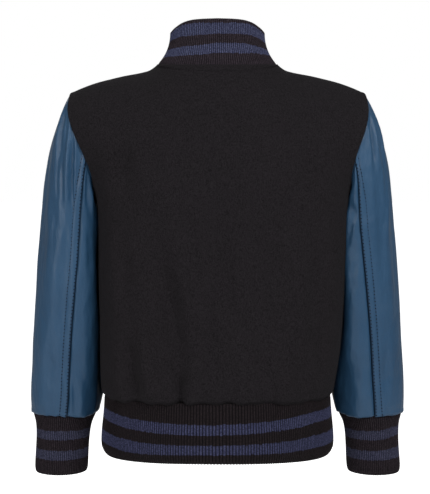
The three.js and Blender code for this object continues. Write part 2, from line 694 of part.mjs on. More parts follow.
function snaps() {
  const front = (u, v) => bodySurface(FRONT, u, v);
  const onPanel = SNAP_ROWS.map((v, i) => {
    const outward = facing(front, 0, v, [-1, 1], [-1, 1], 1);
    return snapCap(i + 1, front(0, v).addScaledVector(outward, LIFT), outward);
  });
  const outward = facing(bandSurface, 4, SNAP_BAND_Z, [3, 5], [-418, -357], -1);
  const onBand = bandSurface(4, SNAP_BAND_Z).addScaledVector(outward, BAND_LIFT + RIBS.height / 2);
  return [...onPanel, snapCap(SNAP_ROWS.length + 1, onBand, outward)];
}

const jacket = new THREE.Group();
jacket.add(bodyPanel("back_panel", BACK, MIRRORED));
for (const side of [1, -1])
  jacket.add(frontPanel(side), sleevePanel(side, "upper"), sleevePanel(side, "under"), cuff(side));
jacket.add(waistband(), collar(), ...snaps());

export default jacket;
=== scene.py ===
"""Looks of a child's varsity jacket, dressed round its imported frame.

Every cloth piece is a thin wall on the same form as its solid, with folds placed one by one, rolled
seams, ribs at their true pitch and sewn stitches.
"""

from __future__ import annotations

import functools
import logging
import math
from dataclasses import dataclass, field
from enum import Enum
from typing import Callable, Sequence

import bmesh
import bpy
import numpy as np
from mathutils import Matrix, Vector

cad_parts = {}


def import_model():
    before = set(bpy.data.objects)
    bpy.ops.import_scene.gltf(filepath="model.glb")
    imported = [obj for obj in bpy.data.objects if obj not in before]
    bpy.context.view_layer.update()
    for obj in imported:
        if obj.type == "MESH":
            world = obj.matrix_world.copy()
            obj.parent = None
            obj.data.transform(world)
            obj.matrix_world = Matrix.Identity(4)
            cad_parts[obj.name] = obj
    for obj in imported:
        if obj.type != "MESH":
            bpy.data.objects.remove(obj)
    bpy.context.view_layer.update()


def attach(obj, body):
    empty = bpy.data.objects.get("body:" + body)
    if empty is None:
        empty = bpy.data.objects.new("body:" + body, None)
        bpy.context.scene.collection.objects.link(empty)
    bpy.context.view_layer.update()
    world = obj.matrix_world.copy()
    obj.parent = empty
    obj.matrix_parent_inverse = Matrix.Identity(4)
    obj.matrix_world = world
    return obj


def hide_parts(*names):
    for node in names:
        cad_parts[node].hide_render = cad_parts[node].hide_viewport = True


LOG = logging.getLogger("varsity_jacket")
Array = np.ndarray
BODY = "root"
MM = 0.001

# Cloth thickness
WOOL = 2.0
LEATHER = 1.8
RIB = 2.6
COLLAR_RIB = 3.2

# Levels
HEM_SEAM_Z = -357.0
UNDERARM_Z = -150.0
SHOULDER_TIP_Z = -30.0
NECK_POINT_Z = 1.0
CAP_END_Z = -175.0
CUFF_SEAM_Z = -382.5

# Shoulder and armhole
NECK_HALF = 65.0
SHOULDER_TIP_X = 160.5
UNDERARM_X = 137.0
ARMHOLE_TURN_Z = (-130.0, -45.0)
GIRTH_FILL = 2.3
CHEST_FILL = 1.08
ARMHOLE_PULL = 100.0
NECK_SHARE = 0.38
NECK_SQUARE = 2.3
SLEEVE_CLEARANCE = 1.3
SLEEVE_SEAM = math.radians(75)

# Front closure
OVERLAP = 0.05
LIFT_ENDS = 0.13
LIFT = WOOL + 0.5
BAND_LIFT = RIB + 1.3


def smooth_step(x: Array, low: float, high: float) -> Array:
    """Rise from 0 at low to 1 at high, level at both ends."""
    t = np.clip((x - low) / (high - low), 0, 1)
    return t * t * (3 - 2 * t)


def mix(a: Array | float, b: Array | float, share: Array | float) -> Array:
    """Blend from a to b."""
    return a + (b - a) * share


def point(x: Array | float, y: Array | float, z: Array | float) -> Array:
    """Stack three coordinates into points."""
    return np.stack(np.broadcast_arrays(x, y, z), axis=-1).astype(float)


def unit(v: Array) -> Array:
    """Scale vectors to length 1."""
    return v / np.maximum(np.linalg.norm(v, axis=-1, keepdims=True), 1e-12)


@dataclass(frozen=True)
class Cubic:
    """Weights of a cubic that leaves one point and arrives at another with given tangents."""

    leave: Array
    leave_tangent: Array
    reach: Array
    reach_tangent: Array

    @classmethod
    def at(cls, t: Array) -> Cubic:
        """Work the weights out at a share of the way."""
        reach = 3 * t**2 - 2 * t**3
        return cls(1 - reach, t**3 - 2 * t**2 + t, reach, t**3 - t**2)


@dataclass(frozen=True)
class Track:
    """A value that is read smoothly along a key."""

    keys: tuple[float, ...]
    values: tuple[float, ...]

    def __call__(self, where: Array | float) -> Array:
        """Read the value.

        Args:
            where: the key, one or many.
        Returns:
            The value at each key, held level past both ends.
        """
        order = np.argsort(self.keys)
        keys, values = np.array(self.keys)[order], np.array(self.values)[order]
        last = len(keys) - 1
        before, after = np.maximum(np.arange(last + 1) - 1, 0), np.minimum(np.arange(last + 1) + 1, last)
        slope = (values[after] - values[before]) / (keys[after] - keys[before])
        x = np.clip(where, keys[0], keys[-1])
        i = np.clip(np.searchsorted(keys, x, side="right") - 1, 0, last - 1)
        span = keys[i + 1] - keys[i]
        w = Cubic.at((x - keys[i]) / span)
        ends = w.leave * values[i] + w.reach * values[i + 1]
        return ends + span * (w.leave_tangent * slope[i] + w.reach_tangent * slope[i + 1])


def tracks(*rows: Sequence[float]) -> list[Track]:
    """Turn rows of a key and its values into one track a column."""
    columns = list(zip(*rows))
    return [Track(columns[0], values) for values in columns[1:]]


# Body sections: z, half width, depth behind and before the side seams, sideways lean
BODY_HALF, BODY_BACK, BODY_FRONT, BODY_LEAN = tracks(
    (-357, 124.2, 89.8, 88.5, 0),
    (-352, 127.0, 93.6, 92.0, 0),
    (-340, 128.3, 95.0, 93.5, -0.6),
    (-313, 130.6, 93.6, 92.6, -2.2),
    (-287, 132.2, 92.0, 91.8, -3.3),
    (-234, 134.8, 90.0, 91.5, -4.6),
    (-181, 136.6, 90.0, 92.0, -5.8),
    (-150, 137.0, 90.5, 92.0, -6.0),
    (-118, 137.0, 90.5, 92.0, -4.2),
    (-88, 137.0, 90.5, 92.0, -2.0),
    (-29, 137.0, 90.5, 92.0, 0),
)
# Shoulder seam: x, z
(SHOULDER_Z,) = tracks((65, 1), (75, -5.5), (104, -12.0), (130, -18.3), (150, -25.5), (160.5, -30.9))
# Sleeve sections: z, outer, inner, middle, half depth, turn of the seams on the left and right
SLEEVE_OUTER, SLEEVE_INNER, SLEEVE_MIDDLE, SLEEVE_DEPTH, TURN_LEFT, TURN_RIGHT = tracks(
    (-175, 194.5, 124, -8, 54, -7, 2),
    (-208, 197.8, 124, -9, 53, -5, 6),
    (-234, 200.4, 124, -10, 52, -2, 9),
    (-260, 202.5, 124, -11, 50, 1, 12),
    (-287, 204.4, 125, -12, 48, 3, 14),
    (-313, 206.2, 126, -13, 46, 4, 15),
    (-340, 207.8, 127, -14, 43.5, 5, 16),
    (-358, 208.6, 128, -14, 42, 5, 17),
    (-370, 208.7, 130, -14, 40, 5, 17),
    (-378, 208.0, 132.4, -14, 37, 5, 17),
    (-382.5, 206.2, 135.0, -14, 34.5, 5, 17),
)
SLEEVE_SQUARE = 2.2
CAP_LEAVES = (0.5, 0.16, -0.87)
CAP_ARRIVES = np.array((0.06, 0, -1))
# Cuff sections: z, outer, inner, half depth
CUFF_OUTER, CUFF_INNER, CUFF_DEPTH = tracks(
    (-382.5, 205.6, 135.5, 33.9),
    (-387.5, 204.2, 138.0, 31.6),
    (-394, 202.8, 140.9, 29.4),
    (-405, 202.4, 143.2, 28.0),
    (-425, 203.2, 144.8, 27.6),
    (-445.5, 203.8, 146.0, 27.4),
    (-449.5, 202.4, 147.4, 26.0),
)
CUFF_MIDDLE = -14.0
CUFF_END_Z = -449.5
# Waistband sections: z, half width, depth behind and before
BAND_HALF, BAND_BACK, BAND_FRONT = tracks(
    (-357, 123.4, 89.2, 88.0),
    (-376, 124.6, 91.0, 89.0),
    (-399, 126.8, 90.2, 88.4),
    (-414, 126.6, 87.6, 86.4),
    (-420, 122.8, 83.2, 82.4),
)
BAND_END_Z = -420.0
# Collar, from the centre back (0) by the side (1) to the front (2): way, upper edge, inward lean
COLLAR_TOP, COLLAR_LEAN = tracks(
    (0, 45.2, 8),
    (0.3, 44.4, 9),
    (0.45, 42.3, 10),
    (0.6, 38.4, 11.3),
    (0.75, 35.5, 12.6),
    (1, 34.4, 14.5),
    (1.2, 30.2, 13.5),
    (1.45, 18.5, 11),
    (1.7, 3, 9),
    (2, -15, 7),
)
COLLAR_CURVE = 2.2
COLLAR_END = 2 - 0.035
COLLAR_CORNER = (0.22, 0.55, 2.5)


@dataclass(frozen=True)
class Half:
    """The back or front of the body: how far it stands out, and how it reaches the neck."""

    sign: float
    depth: Track
    neck_depth: float
    neck_z: float
    armhole: float
    slope_out: float
    rise: float


SLOPE_UP = 62.0
FRONT_SCOOP = 4.0
BACK = Half(1, BODY_BACK, 50, -4.5, 50, -55, 190)
FRONT = Half(-1, BODY_FRONT, 63, -46, 47, -48, 125)


class Form:
    """The jacket's form: where any place of a piece lies, in millimetres."""

    @staticmethod
    def quarter_ring(u: Array, half: Array, depth: Array) -> tuple[Array, Array]:
        """Lay a quarter of a level ring, from the centre line to the side seam."""
        w = Cubic.at(u)
        return half * (w.reach + GIRTH_FILL * w.leave_tangent), depth * (w.leave - GIRTH_FILL * w.reach_tangent)

    @staticmethod
    def armhole(angle: Array) -> Array:
        """Follow the armhole seam at the wearer's left.

        Args:
            angle: 0 at the underarm, a half turn at the shoulder tip, positive behind.
        Returns:
            Points on the seam.
        """
        out = np.sin(angle)
        behind = out >= 0
        z = mix(UNDERARM_Z, SHOULDER_TIP_Z, (1 - np.cos(angle)) / 2)
        x = mix(UNDERARM_X, SHOULDER_TIP_X, smooth_step(z, *ARMHOLE_TURN_Z))
        x = x - np.where(behind, 0, FRONT_SCOOP) * out**2
        return point(x, np.where(behind, BACK.armhole, FRONT.armhole) * out, z)

    @staticmethod
    def squareness(angle: Array, power: float) -> Array:
        """Reach of a rounded square against a circle."""
        return (np.abs(np.cos(angle)) ** power + np.abs(np.sin(angle)) ** power) ** (-1 / power)

    @classmethod
    def top_edge(cls, half: Half, u: Array) -> Array:
        """Follow a panel's upper edge: the neckline, then the shoulder seam."""
        angle = (1 - np.clip(u / NECK_SHARE, 0, 1)) * math.pi / 2
        k = cls.squareness(angle, NECK_SQUARE)
        height = mix(NECK_POINT_Z, half.neck_z, np.sin(angle))
        neck = point(NECK_HALF * np.cos(angle) * k, half.sign * half.neck_depth * np.sin(angle) * k, height)
        x = mix(NECK_HALF, SHOULDER_TIP_X, np.clip((u - NECK_SHARE) / (1 - NECK_SHARE), 0, 1))
        return np.where((u <= NECK_SHARE)[..., None], neck, point(x, 0, SHOULDER_Z(x)))

    @classmethod
    def chest_row(cls, half: Half, u: Array, v: Array) -> Array:
        """Lay a row across a panel above the underarm, before it is drawn to the neckline."""
        along, across = Cubic.at(v), Cubic.at(u)
        depth = half.depth(UNDERARM_Z)
        out = depth * along.leave + half.neck_depth * along.reach + half.slope_out * along.reach_tangent
        rise = half.rise * along.leave_tangent + SLOPE_UP * along.reach_tangent
        z = UNDERARM_Z * along.leave + half.neck_z * along.reach + rise
        seam = cls.armhole(half.sign * v * math.pi)
        turn = smooth_step(v, 0, 1) * math.pi / 2
        pull = mix(GIRTH_FILL * depth, ARMHOLE_PULL, smooth_step(v, 0, 0.3))
        spread = mix(GIRTH_FILL, CHEST_FILL, smooth_step(v, 0, 0.5)) * seam[..., 0]
        x = seam[..., 0] * across.reach + spread * across.leave_tangent
        x = x + pull * np.sin(turn) * across.reach_tangent
        y = out * across.leave + np.abs(seam[..., 1]) * across.reach
        y = y - pull * np.cos(turn) * across.reach_tangent
        reach = np.clip(u / mix(1, 0.7, v), 0, 1)
        return point(x, half.sign * y, mix(z, seam[..., 2], reach * reach * (3 - 2 * reach)))

    @classmethod
    def body(cls, half: Half, u: Array, v: Array) -> Array:
        """Lay a panel.

        Args:
            half: the back or the front.
            u: 0 at the centre line, 1 at the wearer's left side and -1 at the right.
            v: -1 at the waistband, 0 at the underarm, 1 at the neckline and shoulder.
        Returns:
            Points on the cloth's outer face.
        """
        u, v = np.broadcast_arrays(np.asarray(u, float), np.asarray(v, float))
        side, reach = np.where(u < 0, -1.0, 1.0), np.abs(u)
        z = mix(UNDERARM_Z, HEM_SEAM_Z, np.clip(-v, 0, 1))
        ring = cls.quarter_ring(reach, BODY_HALF(z), half.depth(z))
        low = point(ring[0], half.sign * ring[1], z)
        up = np.clip(v, 0, 1)
        drawn = cls.top_edge(half, reach) - cls.chest_row(half, reach, np.ones_like(up))
        shares = np.stack([up**3, up**3, smooth_step(up, 0, 1)], axis=-1)
        high = cls.chest_row(half, reach, up) + drawn * shares
        p = np.where((v <= 0)[..., None], low, high)
        return point(side * p[..., 0] + BODY_LEAN(p[..., 2]), p[..., 1], p[..., 2])

    @classmethod
    def flank(cls, y: Array, z: Array, side: int) -> Array:
        """Find how far the body reaches sideways at a given depth, below the underarm."""
        level = np.minimum(z, UNDERARM_Z)
        width, depth = BODY_HALF(level), np.where(y > 0, BODY_BACK(level), BODY_FRONT(level))
        low, high = np.zeros_like(y), np.ones_like(y)
        for _ in range(24):
            middle = (low + high) / 2
            further = cls.quarter_ring(middle, width, depth)[1] > np.abs(y)
            low, high = np.where(further, middle, low), np.where(further, high, middle)
        return cls.quarter_ring(low, width, depth)[0] + side * BODY_LEAN(level)

    @classmethod
    def tube(cls, outer: Array, inner: Array, middle: Array, depth: Array, angle: Array, square: float) -> tuple:
        """Lay a level section of a sleeve or cuff, 0 at the body, a half turn outside."""
        k = cls.squareness(angle, square)
        x = (outer + inner) / 2 - (outer - inner) / 2 * np.cos(angle) * k
        return x, middle + depth * np.sin(angle) * k

    @classmethod
    def sleeve_section(cls, z: Array, angle: Array, side: int) -> Array:
        """Lay a level section of a sleeve at the wearer's left, its seams turned as on that side."""
        turned = angle + np.radians((TURN_LEFT if side > 0 else TURN_RIGHT)(z)) * np.sin(angle)
        x, y = cls.tube(SLEEVE_OUTER(z), SLEEVE_INNER(z), SLEEVE_MIDDLE(z), SLEEVE_DEPTH(z), turned, SLEEVE_SQUARE)
        near = cls.flank(y, z, side) + SLEEVE_CLEARANCE
        over = x - near
        rounded = np.where(over < -2, near, near + (np.clip(over, -2, 2) + 2) ** 2 / 8)
        pressed = np.where(over > 2, x, rounded)
        return point(np.where(z > HEM_SEAM_Z, pressed, x), y, z)

    @classmethod
    def sleeve(cls, side: int, angle: Array, along: Array) -> Array:
        """Lay a sleeve.

        Args:
            side: 1 for the wearer's left, -1 for the right.
            angle: round the sleeve, 0 at the body, 90 degrees behind.
            along: 0 at the armhole, 1 at the cap's end, 2 at the cuff seam.
        Returns:
            Points on the leather's outer face.
        """
        angle, along = np.broadcast_arrays(np.asarray(angle, float), np.asarray(along, float))
        z = mix(CAP_END_Z, CUFF_SEAM_Z, np.clip(along - 1, 0, 1))
        low = cls.sleeve_section(z, angle, side)
        start = cls.armhole(angle)
        start[..., 0] += side * BODY_LEAN(start[..., 2])
        end = cls.sleeve_section(np.full_like(angle, CAP_END_Z), angle, side)
        reach = np.linalg.norm(end - start, axis=-1, keepdims=True)
        w = Cubic.at(np.clip(along, 0, 1)[..., None])
        leaves = point(mix(CAP_LEAVES[0], CAP_LEAVES[1], np.sin(angle) ** 2), 0, CAP_LEAVES[2])
        cap = start * w.leave + end * w.reach + reach * (leaves * w.leave_tangent + CAP_ARRIVES * w.reach_tangent)
        p = np.where((along >= 1)[..., None], low, cap)
        return p * (side, 1, 1)

    @classmethod
    def cuff(cls, side: int, angle: Array, z: Array) -> Array:
        """Lay a cuff at an angle and a height."""
        x, y = cls.tube(CUFF_OUTER(z), CUFF_INNER(z), CUFF_MIDDLE, CUFF_DEPTH(z), angle, 2)
        return point(side * x, y, z)

    @classmethod
    def band(cls, way: Array, z: Array) -> Array:
        """Lay the waistband. way is 0 at the centre front, 1 at the right side, 2 behind, 3 at the left side."""
        turn = np.mod(way, 4)
        quarter = np.floor(turn)
        u = np.where(quarter % 2 == 1, quarter + 1 - turn, turn - quarter)
        before = (quarter == 0) | (quarter == 3)
        x, y = cls.quarter_ring(u, BAND_HALF(z), np.where(before, BAND_FRONT(z), BAND_BACK(z)))
        return point(np.where(quarter < 2, -1, 1) * x, np.where(before, -1, 1) * y, z)

    @classmethod
    def neck_seat(cls, way: Array) -> Array:
        """Follow the neckline where the collar is sewn on, on the lapped left front too."""
        side, reach = np.where(way < 0, -1.0, 1.0), np.abs(way)
        u = side * NECK_SHARE * np.where(reach <= 1, reach, 2 - reach)
        back, front = cls.body(BACK, u, np.ones_like(u)), cls.body(FRONT, u, np.ones_like(u))
        lifted = front + lap_lift(u)[..., None] * np.array((0, -1, 0)) * (side > 0)[..., None]
        return np.where((reach <= 1)[..., None], back, lifted)

    @classmethod
    def collar(cls, way: Array, up: Array) -> Array:
        """Lay the collar. way is 0 behind, 1 at the left neck point, 2 before; up is 0 at the seam, 1 above."""
        way, up = np.broadcast_arrays(np.asarray(way, float), np.asarray(up, float))
        base, reach = cls.neck_seat(way), np.abs(way)
        share, low, power = COLLAR_CORNER
        from_end = np.clip((COLLAR_END - reach) / share, 0, 1)
        corner = mix(low, 1, (1 - (1 - from_end) ** power) ** (1 / power))
        height = (COLLAR_TOP(reach) - base[..., 2]) * corner
        inwards = COLLAR_LEAN(reach) * (1 - (1 - up) ** COLLAR_CURVE)
        plan = np.hypot(base[..., 0], base[..., 1])
        shrink = 1 - inwards / plan
        return point(base[..., 0] * shrink, base[..., 1] * shrink, base[..., 2] + height * up)


def lap_lift(u: Array) -> Array:
    """Raise the left front's edge over the right one."""
    return LIFT * (1 - smooth_step(u, OVERLAP + 0.015, LIFT_ENDS))


class Edge(Enum):
    """How an edge of a cloth piece is finished: depth or height, and how far in it reaches."""

    SEWN = (-1.1, 1.5)
    TUCKED = (-1.3, 2.6)
    PROUD = (1.1, 5.0)
    LAPPED = (0.7, 3.0)
    BUTTED = (-1.6, 1.8)
    HEMMED = (-2.1, 4.2)
    UNDERLAID = (-1.4, 4.6)
    FREE = (0.0, 1.0)

    def shape(self, away: Array, thick: float) -> tuple[Array, Array]:
        """Shape the wall along this edge.

        Args:
            away: distance from the edge.
            thick: the wall's thickness.
        Returns:
            What is added to the outer and to the inner face.
        """
        height, width = self.value
        swell = height * np.exp(-((away / width) ** 2))
        if height < 0:
            return swell, np.zeros_like(away)
        radius = thick * {Edge.FREE: 0.5, Edge.LAPPED: 0.7, Edge.PROUD: 1.1}[self]
        inside = 1 - np.clip(away, 0, radius) / radius
        roll = radius * (1 - np.sqrt(1 - inside**2))
        return swell - roll, roll if self is Edge.FREE else np.zeros_like(away)


Surface = Callable[[Array, Array], Array]


@dataclass
class Grid:
    """A cloth piece's places before its wall is raised, one row of points a row of cloth."""

    column: Array
    row: Array
    place: Array
    normal: Array

    @classmethod
    def lay(cls, surface: Surface, columns: Array, rows: Array, sign: float, closed: bool = False) -> Grid:
        """Sample a surface and its outward directions.

        Args:
            surface: gives a place for each column and row.
            columns: the columns' own values.
            rows: the rows' own values.
            sign: -1 where columns and rows turn the direction inwards.
            closed: whether the last column meets the first.
        Returns:
            The sampled grid.
        """
        column, row = np.meshgrid(columns, rows)
        place = surface(column, row)
        across, up = np.gradient(place, axis=1), np.gradient(place, axis=0)
        if closed:
            across[:, 0] = across[:, -1] = (place[:, 1] - place[:, -2]) / 2
        return cls(column, row, place, unit(np.cross(across, up)) * sign)

    def away(self, side: str) -> Array:
        """Measure how far each place lies from one edge, along the cloth."""
        axis = 1 if side in ("left", "right") else 0
        steps = np.linalg.norm(np.diff(self.place, axis=axis), axis=-1)
        far = np.concatenate([np.zeros_like(np.take(steps, [0], axis)), np.cumsum(steps, axis)], axis)
        return far if side in ("left", "bottom") else np.take(far, [-1], axis) - far


Relief = Callable[[Grid], Array]


@dataclass
class Line:
    """A line on cloth, with the cloth's outward direction along it."""

    places: Array
    normals: Array

    def steps(self, pitch: float, skip: float) -> list[tuple[Array, Array, Array]]:
        """Divide the line evenly.

        Args:
            pitch: distance between steps.
            skip: length left bare at both ends.
        Returns:
            Each step's place, way along the line and outward direction.
        """
        far = np.concatenate([[0], np.cumsum(np.linalg.norm(np.diff(self.places, axis=0), axis=-1))])
        count = max(int((far[-1] - 2 * skip) / pitch), 1)
        at = skip + (np.arange(count) + 0.5) * (far[-1] - 2 * skip) / count

        def read(values: Array, where: Array) -> Array:
            """Read three coordinates at distances along the line."""
            return np.stack([np.interp(where, far, values[:, k]) for k in range(3)], axis=-1)

        ways = unit(read(self.places, at + 0.8) - read(self.places, at - 0.8))
        return list(zip(read(self.places, at), ways, unit(read(self.normals, at))))


@dataclass
class ClothPiece:
    """One cut piece of cloth: a closed thin wall laid on its form."""

    name: str
    nodes: tuple[str, ...]
    slot: str
    surface: Surface
    columns: Array
    rows: Array
    thick: float
    sign: float
    edges: dict[str, Edge]
    flat: tuple[float, float]
    area: float
    held: str = "hung"
    relief: Relief | None = None
    map_uv: Callable[[Grid], tuple[Array, Array]] | None = None
    round: bool = False
    materials: list[bpy.types.Material] = field(default_factory=list)
    grid: Grid | None = None
    outer: Array | None = None

    def line(self, side: str, inset: float) -> Line:
        """Follow the outer face at a distance from one edge."""
        parts = [self.grid.away(side), self.outer, self.grid.normal]
        if side in ("top", "bottom"):
            parts = [np.swapaxes(part, 0, 1) for part in parts]
        if parts[0][0, 0] > parts[0][0, -1]:
            parts = [np.flip(part, axis=1) for part in parts]
        places, normals = [], []
        for far, place, normal in zip(*parts):
            places.append([np.interp(inset, far, place[:, k]) for k in range(3)])
            normals.append([np.interp(inset, far, normal[:, k]) for k in range(3)])
        return Line(np.array(places), unit(np.array(normals)))

    def walls(self, grid: Grid) -> tuple[Array, Array]:
        """Raise the outer and inner faces from the form.

        Returns:
            Outer and inner points, in millimetres.
        """
        swell = self.relief(grid) if self.relief else np.zeros(grid.column.shape)
        outer, inner = swell.copy(), swell - self.thick
        for side, edge in self.edges.items():
            added = edge.shape(grid.away(side), self.thick)
            outer, inner = outer + added[0], inner + added[1]
        outer = np.maximum(outer, inner + 0.15 * self.thick)
        return (grid.place + grid.normal * outer[..., None], grid.place + grid.normal * inner[..., None])

    def build(self) -> bpy.types.Object:
        """Returns:
            The finished piece.
        """
        grid = Grid.lay(self.surface, self.columns, self.rows, self.sign, self.round)
        faces = self.walls(grid)
        self.grid, self.outer = grid, faces[0]
        if self.map_uv:
            map_u, map_v = self.map_uv(grid)
        else:
            map_u, map_v = grid.away("left"), grid.away("bottom")
        across, up = len(self.columns) - 1, len(self.rows) - 1
        bm = bmesh.new()
        uv = bm.loops.layers.uv.new("UVMap")
        bmesh.ops.create_grid(bm, x_segments=across, y_segments=up, size=1.0, calc_uvs=True)
        bmesh.ops.solidify(bm, geom=bm.faces[:], thickness=1.0)
        spots = {}
        for vert in bm.verts:
            spots[vert] = (int(vert.co.z < -0.5), round((vert.co.y + 1) / 2 * up), round((vert.co.x + 1) / 2 * across))
        for face in bm.faces:
            face.smooth = True
            reach = [spots[vert][2] for vert in face.verts]
            # A second material goes on the faces at both long edges; on the sleeves it is painted seam shade.
            face.material_index = int(len(self.materials) > 1 and (max(reach) <= 1 or min(reach) >= across - 1))
            for loop in face.loops:
                _, r, c = spots[loop.vert]
                loop[uv].uv = (map_u[r, c] * MM, map_v[r, c] * MM)
        if self.round:
            ends = [f for f in bm.faces if all(spots[v][2] == spots[f.verts[0]][2] for v in f.verts)]
            bmesh.ops.delete(bm, geom=ends, context="FACES_ONLY")
        for vert, (inner, r, c) in spots.items():
            vert.co = faces[inner][r, c] * MM
        if self.round:
            bmesh.ops.remove_doubles(bm, verts=bm.verts[:], dist=1e-6)
        if self.sign < 0:
            bmesh.ops.reverse_faces(bm, faces=bm.faces[:])
        return self.declare(finish_mesh(bm, self.name, self.materials))

    def declare(self, piece: bpy.types.Object) -> bpy.types.Object:
        """Attach the piece to its body, hide the parts it replaces, and log its surface beside its cut area."""
        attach(piece, BODY)
        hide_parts(*self.nodes)
        surface = sum(face.area for face in piece.data.polygons) / 2
        LOG.info("%s: %.4f m2 of surface, cut from %.4f m2", piece.name, surface, self.area)
        return piece


def finish_mesh(bm: bmesh.types.BMesh, name: str, materials: Sequence[bpy.types.Material]) -> bpy.types.Object:
    """Turn a finished bmesh into an object at the origin.

    Args:
        bm: the mesh, which is freed.
        name: the object's name.
        materials: its materials.
    Returns:
        The linked object.
    """
    mesh = bpy.data.meshes.new(name)
    bm.to_mesh(mesh)
    bm.free()
    for material in materials:
        mesh.materials.append(material)
    made = bpy.data.objects.new(name, mesh)
    bpy.context.scene.collection.objects.link(made)
    return made


# The listed folds come next


@dataclass(frozen=True)
class Fold:
    """A soft trough, or a ridge where its depth is below 0, along a straight line on the cloth."""

    start: tuple[float, float]
    end: tuple[float, float]
    width: float
    depth: float

    def sink(self, across: Array, along: Array) -> Array:
        """Work out how far the cloth sinks.

        Args:
            across: sideways place on the cloth, in millimetres.
            along: place up the cloth, in millimetres.
        Returns:
            The depth at each place.
        """
        start, way = np.array(self.start), np.array(self.end) - np.array(self.start)
        length = np.linalg.norm(way)
        way = way / length
        x, y = across - start[0], along - start[1]
        share = (x * way[0] + y * way[1]) / length
        off = (y * way[0] - x * way[1]) / self.width
        fade = smooth_step(share, -0.12, 0.3) * (1 - smooth_step(share, 0.62, 1.15))
        trough = np.exp(-(off**2)) - 0.34 * np.exp(-((np.abs(off) - 1.7) ** 2) * 1.6)
        return self.depth * fade * trough


def sink_all(folds: Sequence[Fold], across: Array, along: Array) -> Array:
    """Sum what every fold sinks the cloth by."""
    return sum((fold.sink(across, along) for fold in folds), np.zeros_like(across))


def waver(place: Array, pitch: float, seed: int) -> Array:
    """Unevenness between about -1 and 1 over the cloth, of a given pitch in millimetres."""
    draws = np.random.default_rng(seed)
    total = np.zeros(place.shape[:-1])
    for _ in range(7):
        wave = draws.normal(size=3) * 2 * math.pi / pitch / 1.6
        total += np.sin(place @ wave + draws.uniform(0, 2 * math.pi))
    return total / 4


def pucker(along: Array, away: Array, pitch: float, reach: float, seed: int) -> Array:
    """Small gathers beside a seam.

    Args:
        along: place along the seam.
        away: distance from the seam.
        pitch: mean distance between gathers.
        reach: how far they run into the cloth.
        seed: which uneven set is drawn.
    Returns:
        A height between about -1 and 1, dying out away from the seam.
    """
    draws = np.random.default_rng(seed)
    total = np.zeros_like(along)
    for k in range(5):
        frequency = 2 * math.pi / pitch * draws.uniform(0.6, 1.5)
        drift = draws.uniform(-0.35, 0.35)
        own = reach * draws.uniform(0.5, 1.4)
        total += np.sin(frequency * (along + drift * away) + draws.uniform(0, 6.3)) * np.exp(-((away / own) ** 2))
    return total / 3


def rib_relief(phase: Array, height: float) -> Array:
    """Round a rib's top between narrow valleys. phase counts ribs."""
    across = np.abs(2 * np.mod(phase, 1) - 1)
    return height * (0.5 - across**2.4)


# Materials come next


class Shader:
    """Builds the nodes of one material or group, with few words."""

    def __init__(self, tree: bpy.types.NodeTree) -> None:
        """Start on an empty tree."""
        self.tree = tree
        tree.nodes.clear()

    def node(self, kind: str, inputs: dict[str | int, object] | None = None, **settings: object) -> bpy.types.Node:
        """Add a node.

        Args:
            kind: the node's type, without its ShaderNode prefix.
            inputs: a value, or a socket to link, for each input.
            settings: the node's own properties.
        Returns:
            The node.
        """
        made = self.tree.nodes.new("ShaderNode" + kind)
        for key, value in settings.items():
            setattr(made, key, value)
        for key, value in (inputs or {}).items():
            self.feed(made.inputs[key], value)
        return made

    def feed(self, socket: bpy.types.NodeSocket, value: object) -> None:
        """Link a socket, or set its value."""
        if isinstance(value, bpy.types.NodeSocket):
            self.tree.links.new(value, socket)
        else:
            socket.default_value = value

    def math(self, operation: str, a: object, b: object = 0.0, clamp: bool = False) -> bpy.types.NodeSocket:
        """Add a Math node and return its value."""
        return self.node("Math", {0: a, 1: b}, operation=operation, use_clamp=clamp).outputs[0]

    def noise(self, place: object, scale: float, detail: float = 2.0, rough: float = 0.5) -> bpy.types.NodeSocket:
        """Add a noise texture and return its factor."""
        values = {"Vector": place, "Scale": scale, "Detail": detail, "Roughness": rough}
        return self.node("TexNoise", values).outputs[0]

    def spread(self, value: object, low: float, high: float, to_low: float, to_high: float) -> bpy.types.NodeSocket:
        """Map a value from one range to another and clamp it."""
        inputs = {"Value": value, "From Min": low, "From Max": high, "To Min": to_low, "To Max": to_high}
        return self.node("MapRange", inputs).outputs[0]

    def blend(self, share: object, a: object, b: object, kind: str = "MIX") -> bpy.types.NodeSocket:
        """Mix two colours."""
        made = self.node("Mix", data_type="RGBA", blend_type=kind)
        for socket, value in ((made.inputs[0], share), (made.inputs[6], a), (made.inputs[7], b)):
            self.feed(socket, value)
        return made.outputs[2]

    def group(self, tree: bpy.types.NodeTree, **inputs: object) -> bpy.types.Node:
        """Place a node group with its own values."""
        made = self.tree.nodes.new("ShaderNodeGroup")
        made.node_tree = tree
        for key, value in inputs.items():
            self.feed(made.inputs[key.replace("_", " ")], value)
        return made


def linear(red: int, green: int, blue: int) -> tuple[float, float, float, float]:
    """Turn a colour as seen, from 0 to 255, into the shader's linear values."""
    parts = [c / 255 for c in (red, green, blue)]
    return (*((c / 12.92 if c <= 0.04045 else ((c + 0.055) / 1.055) ** 2.4) for c in parts), 1.0)


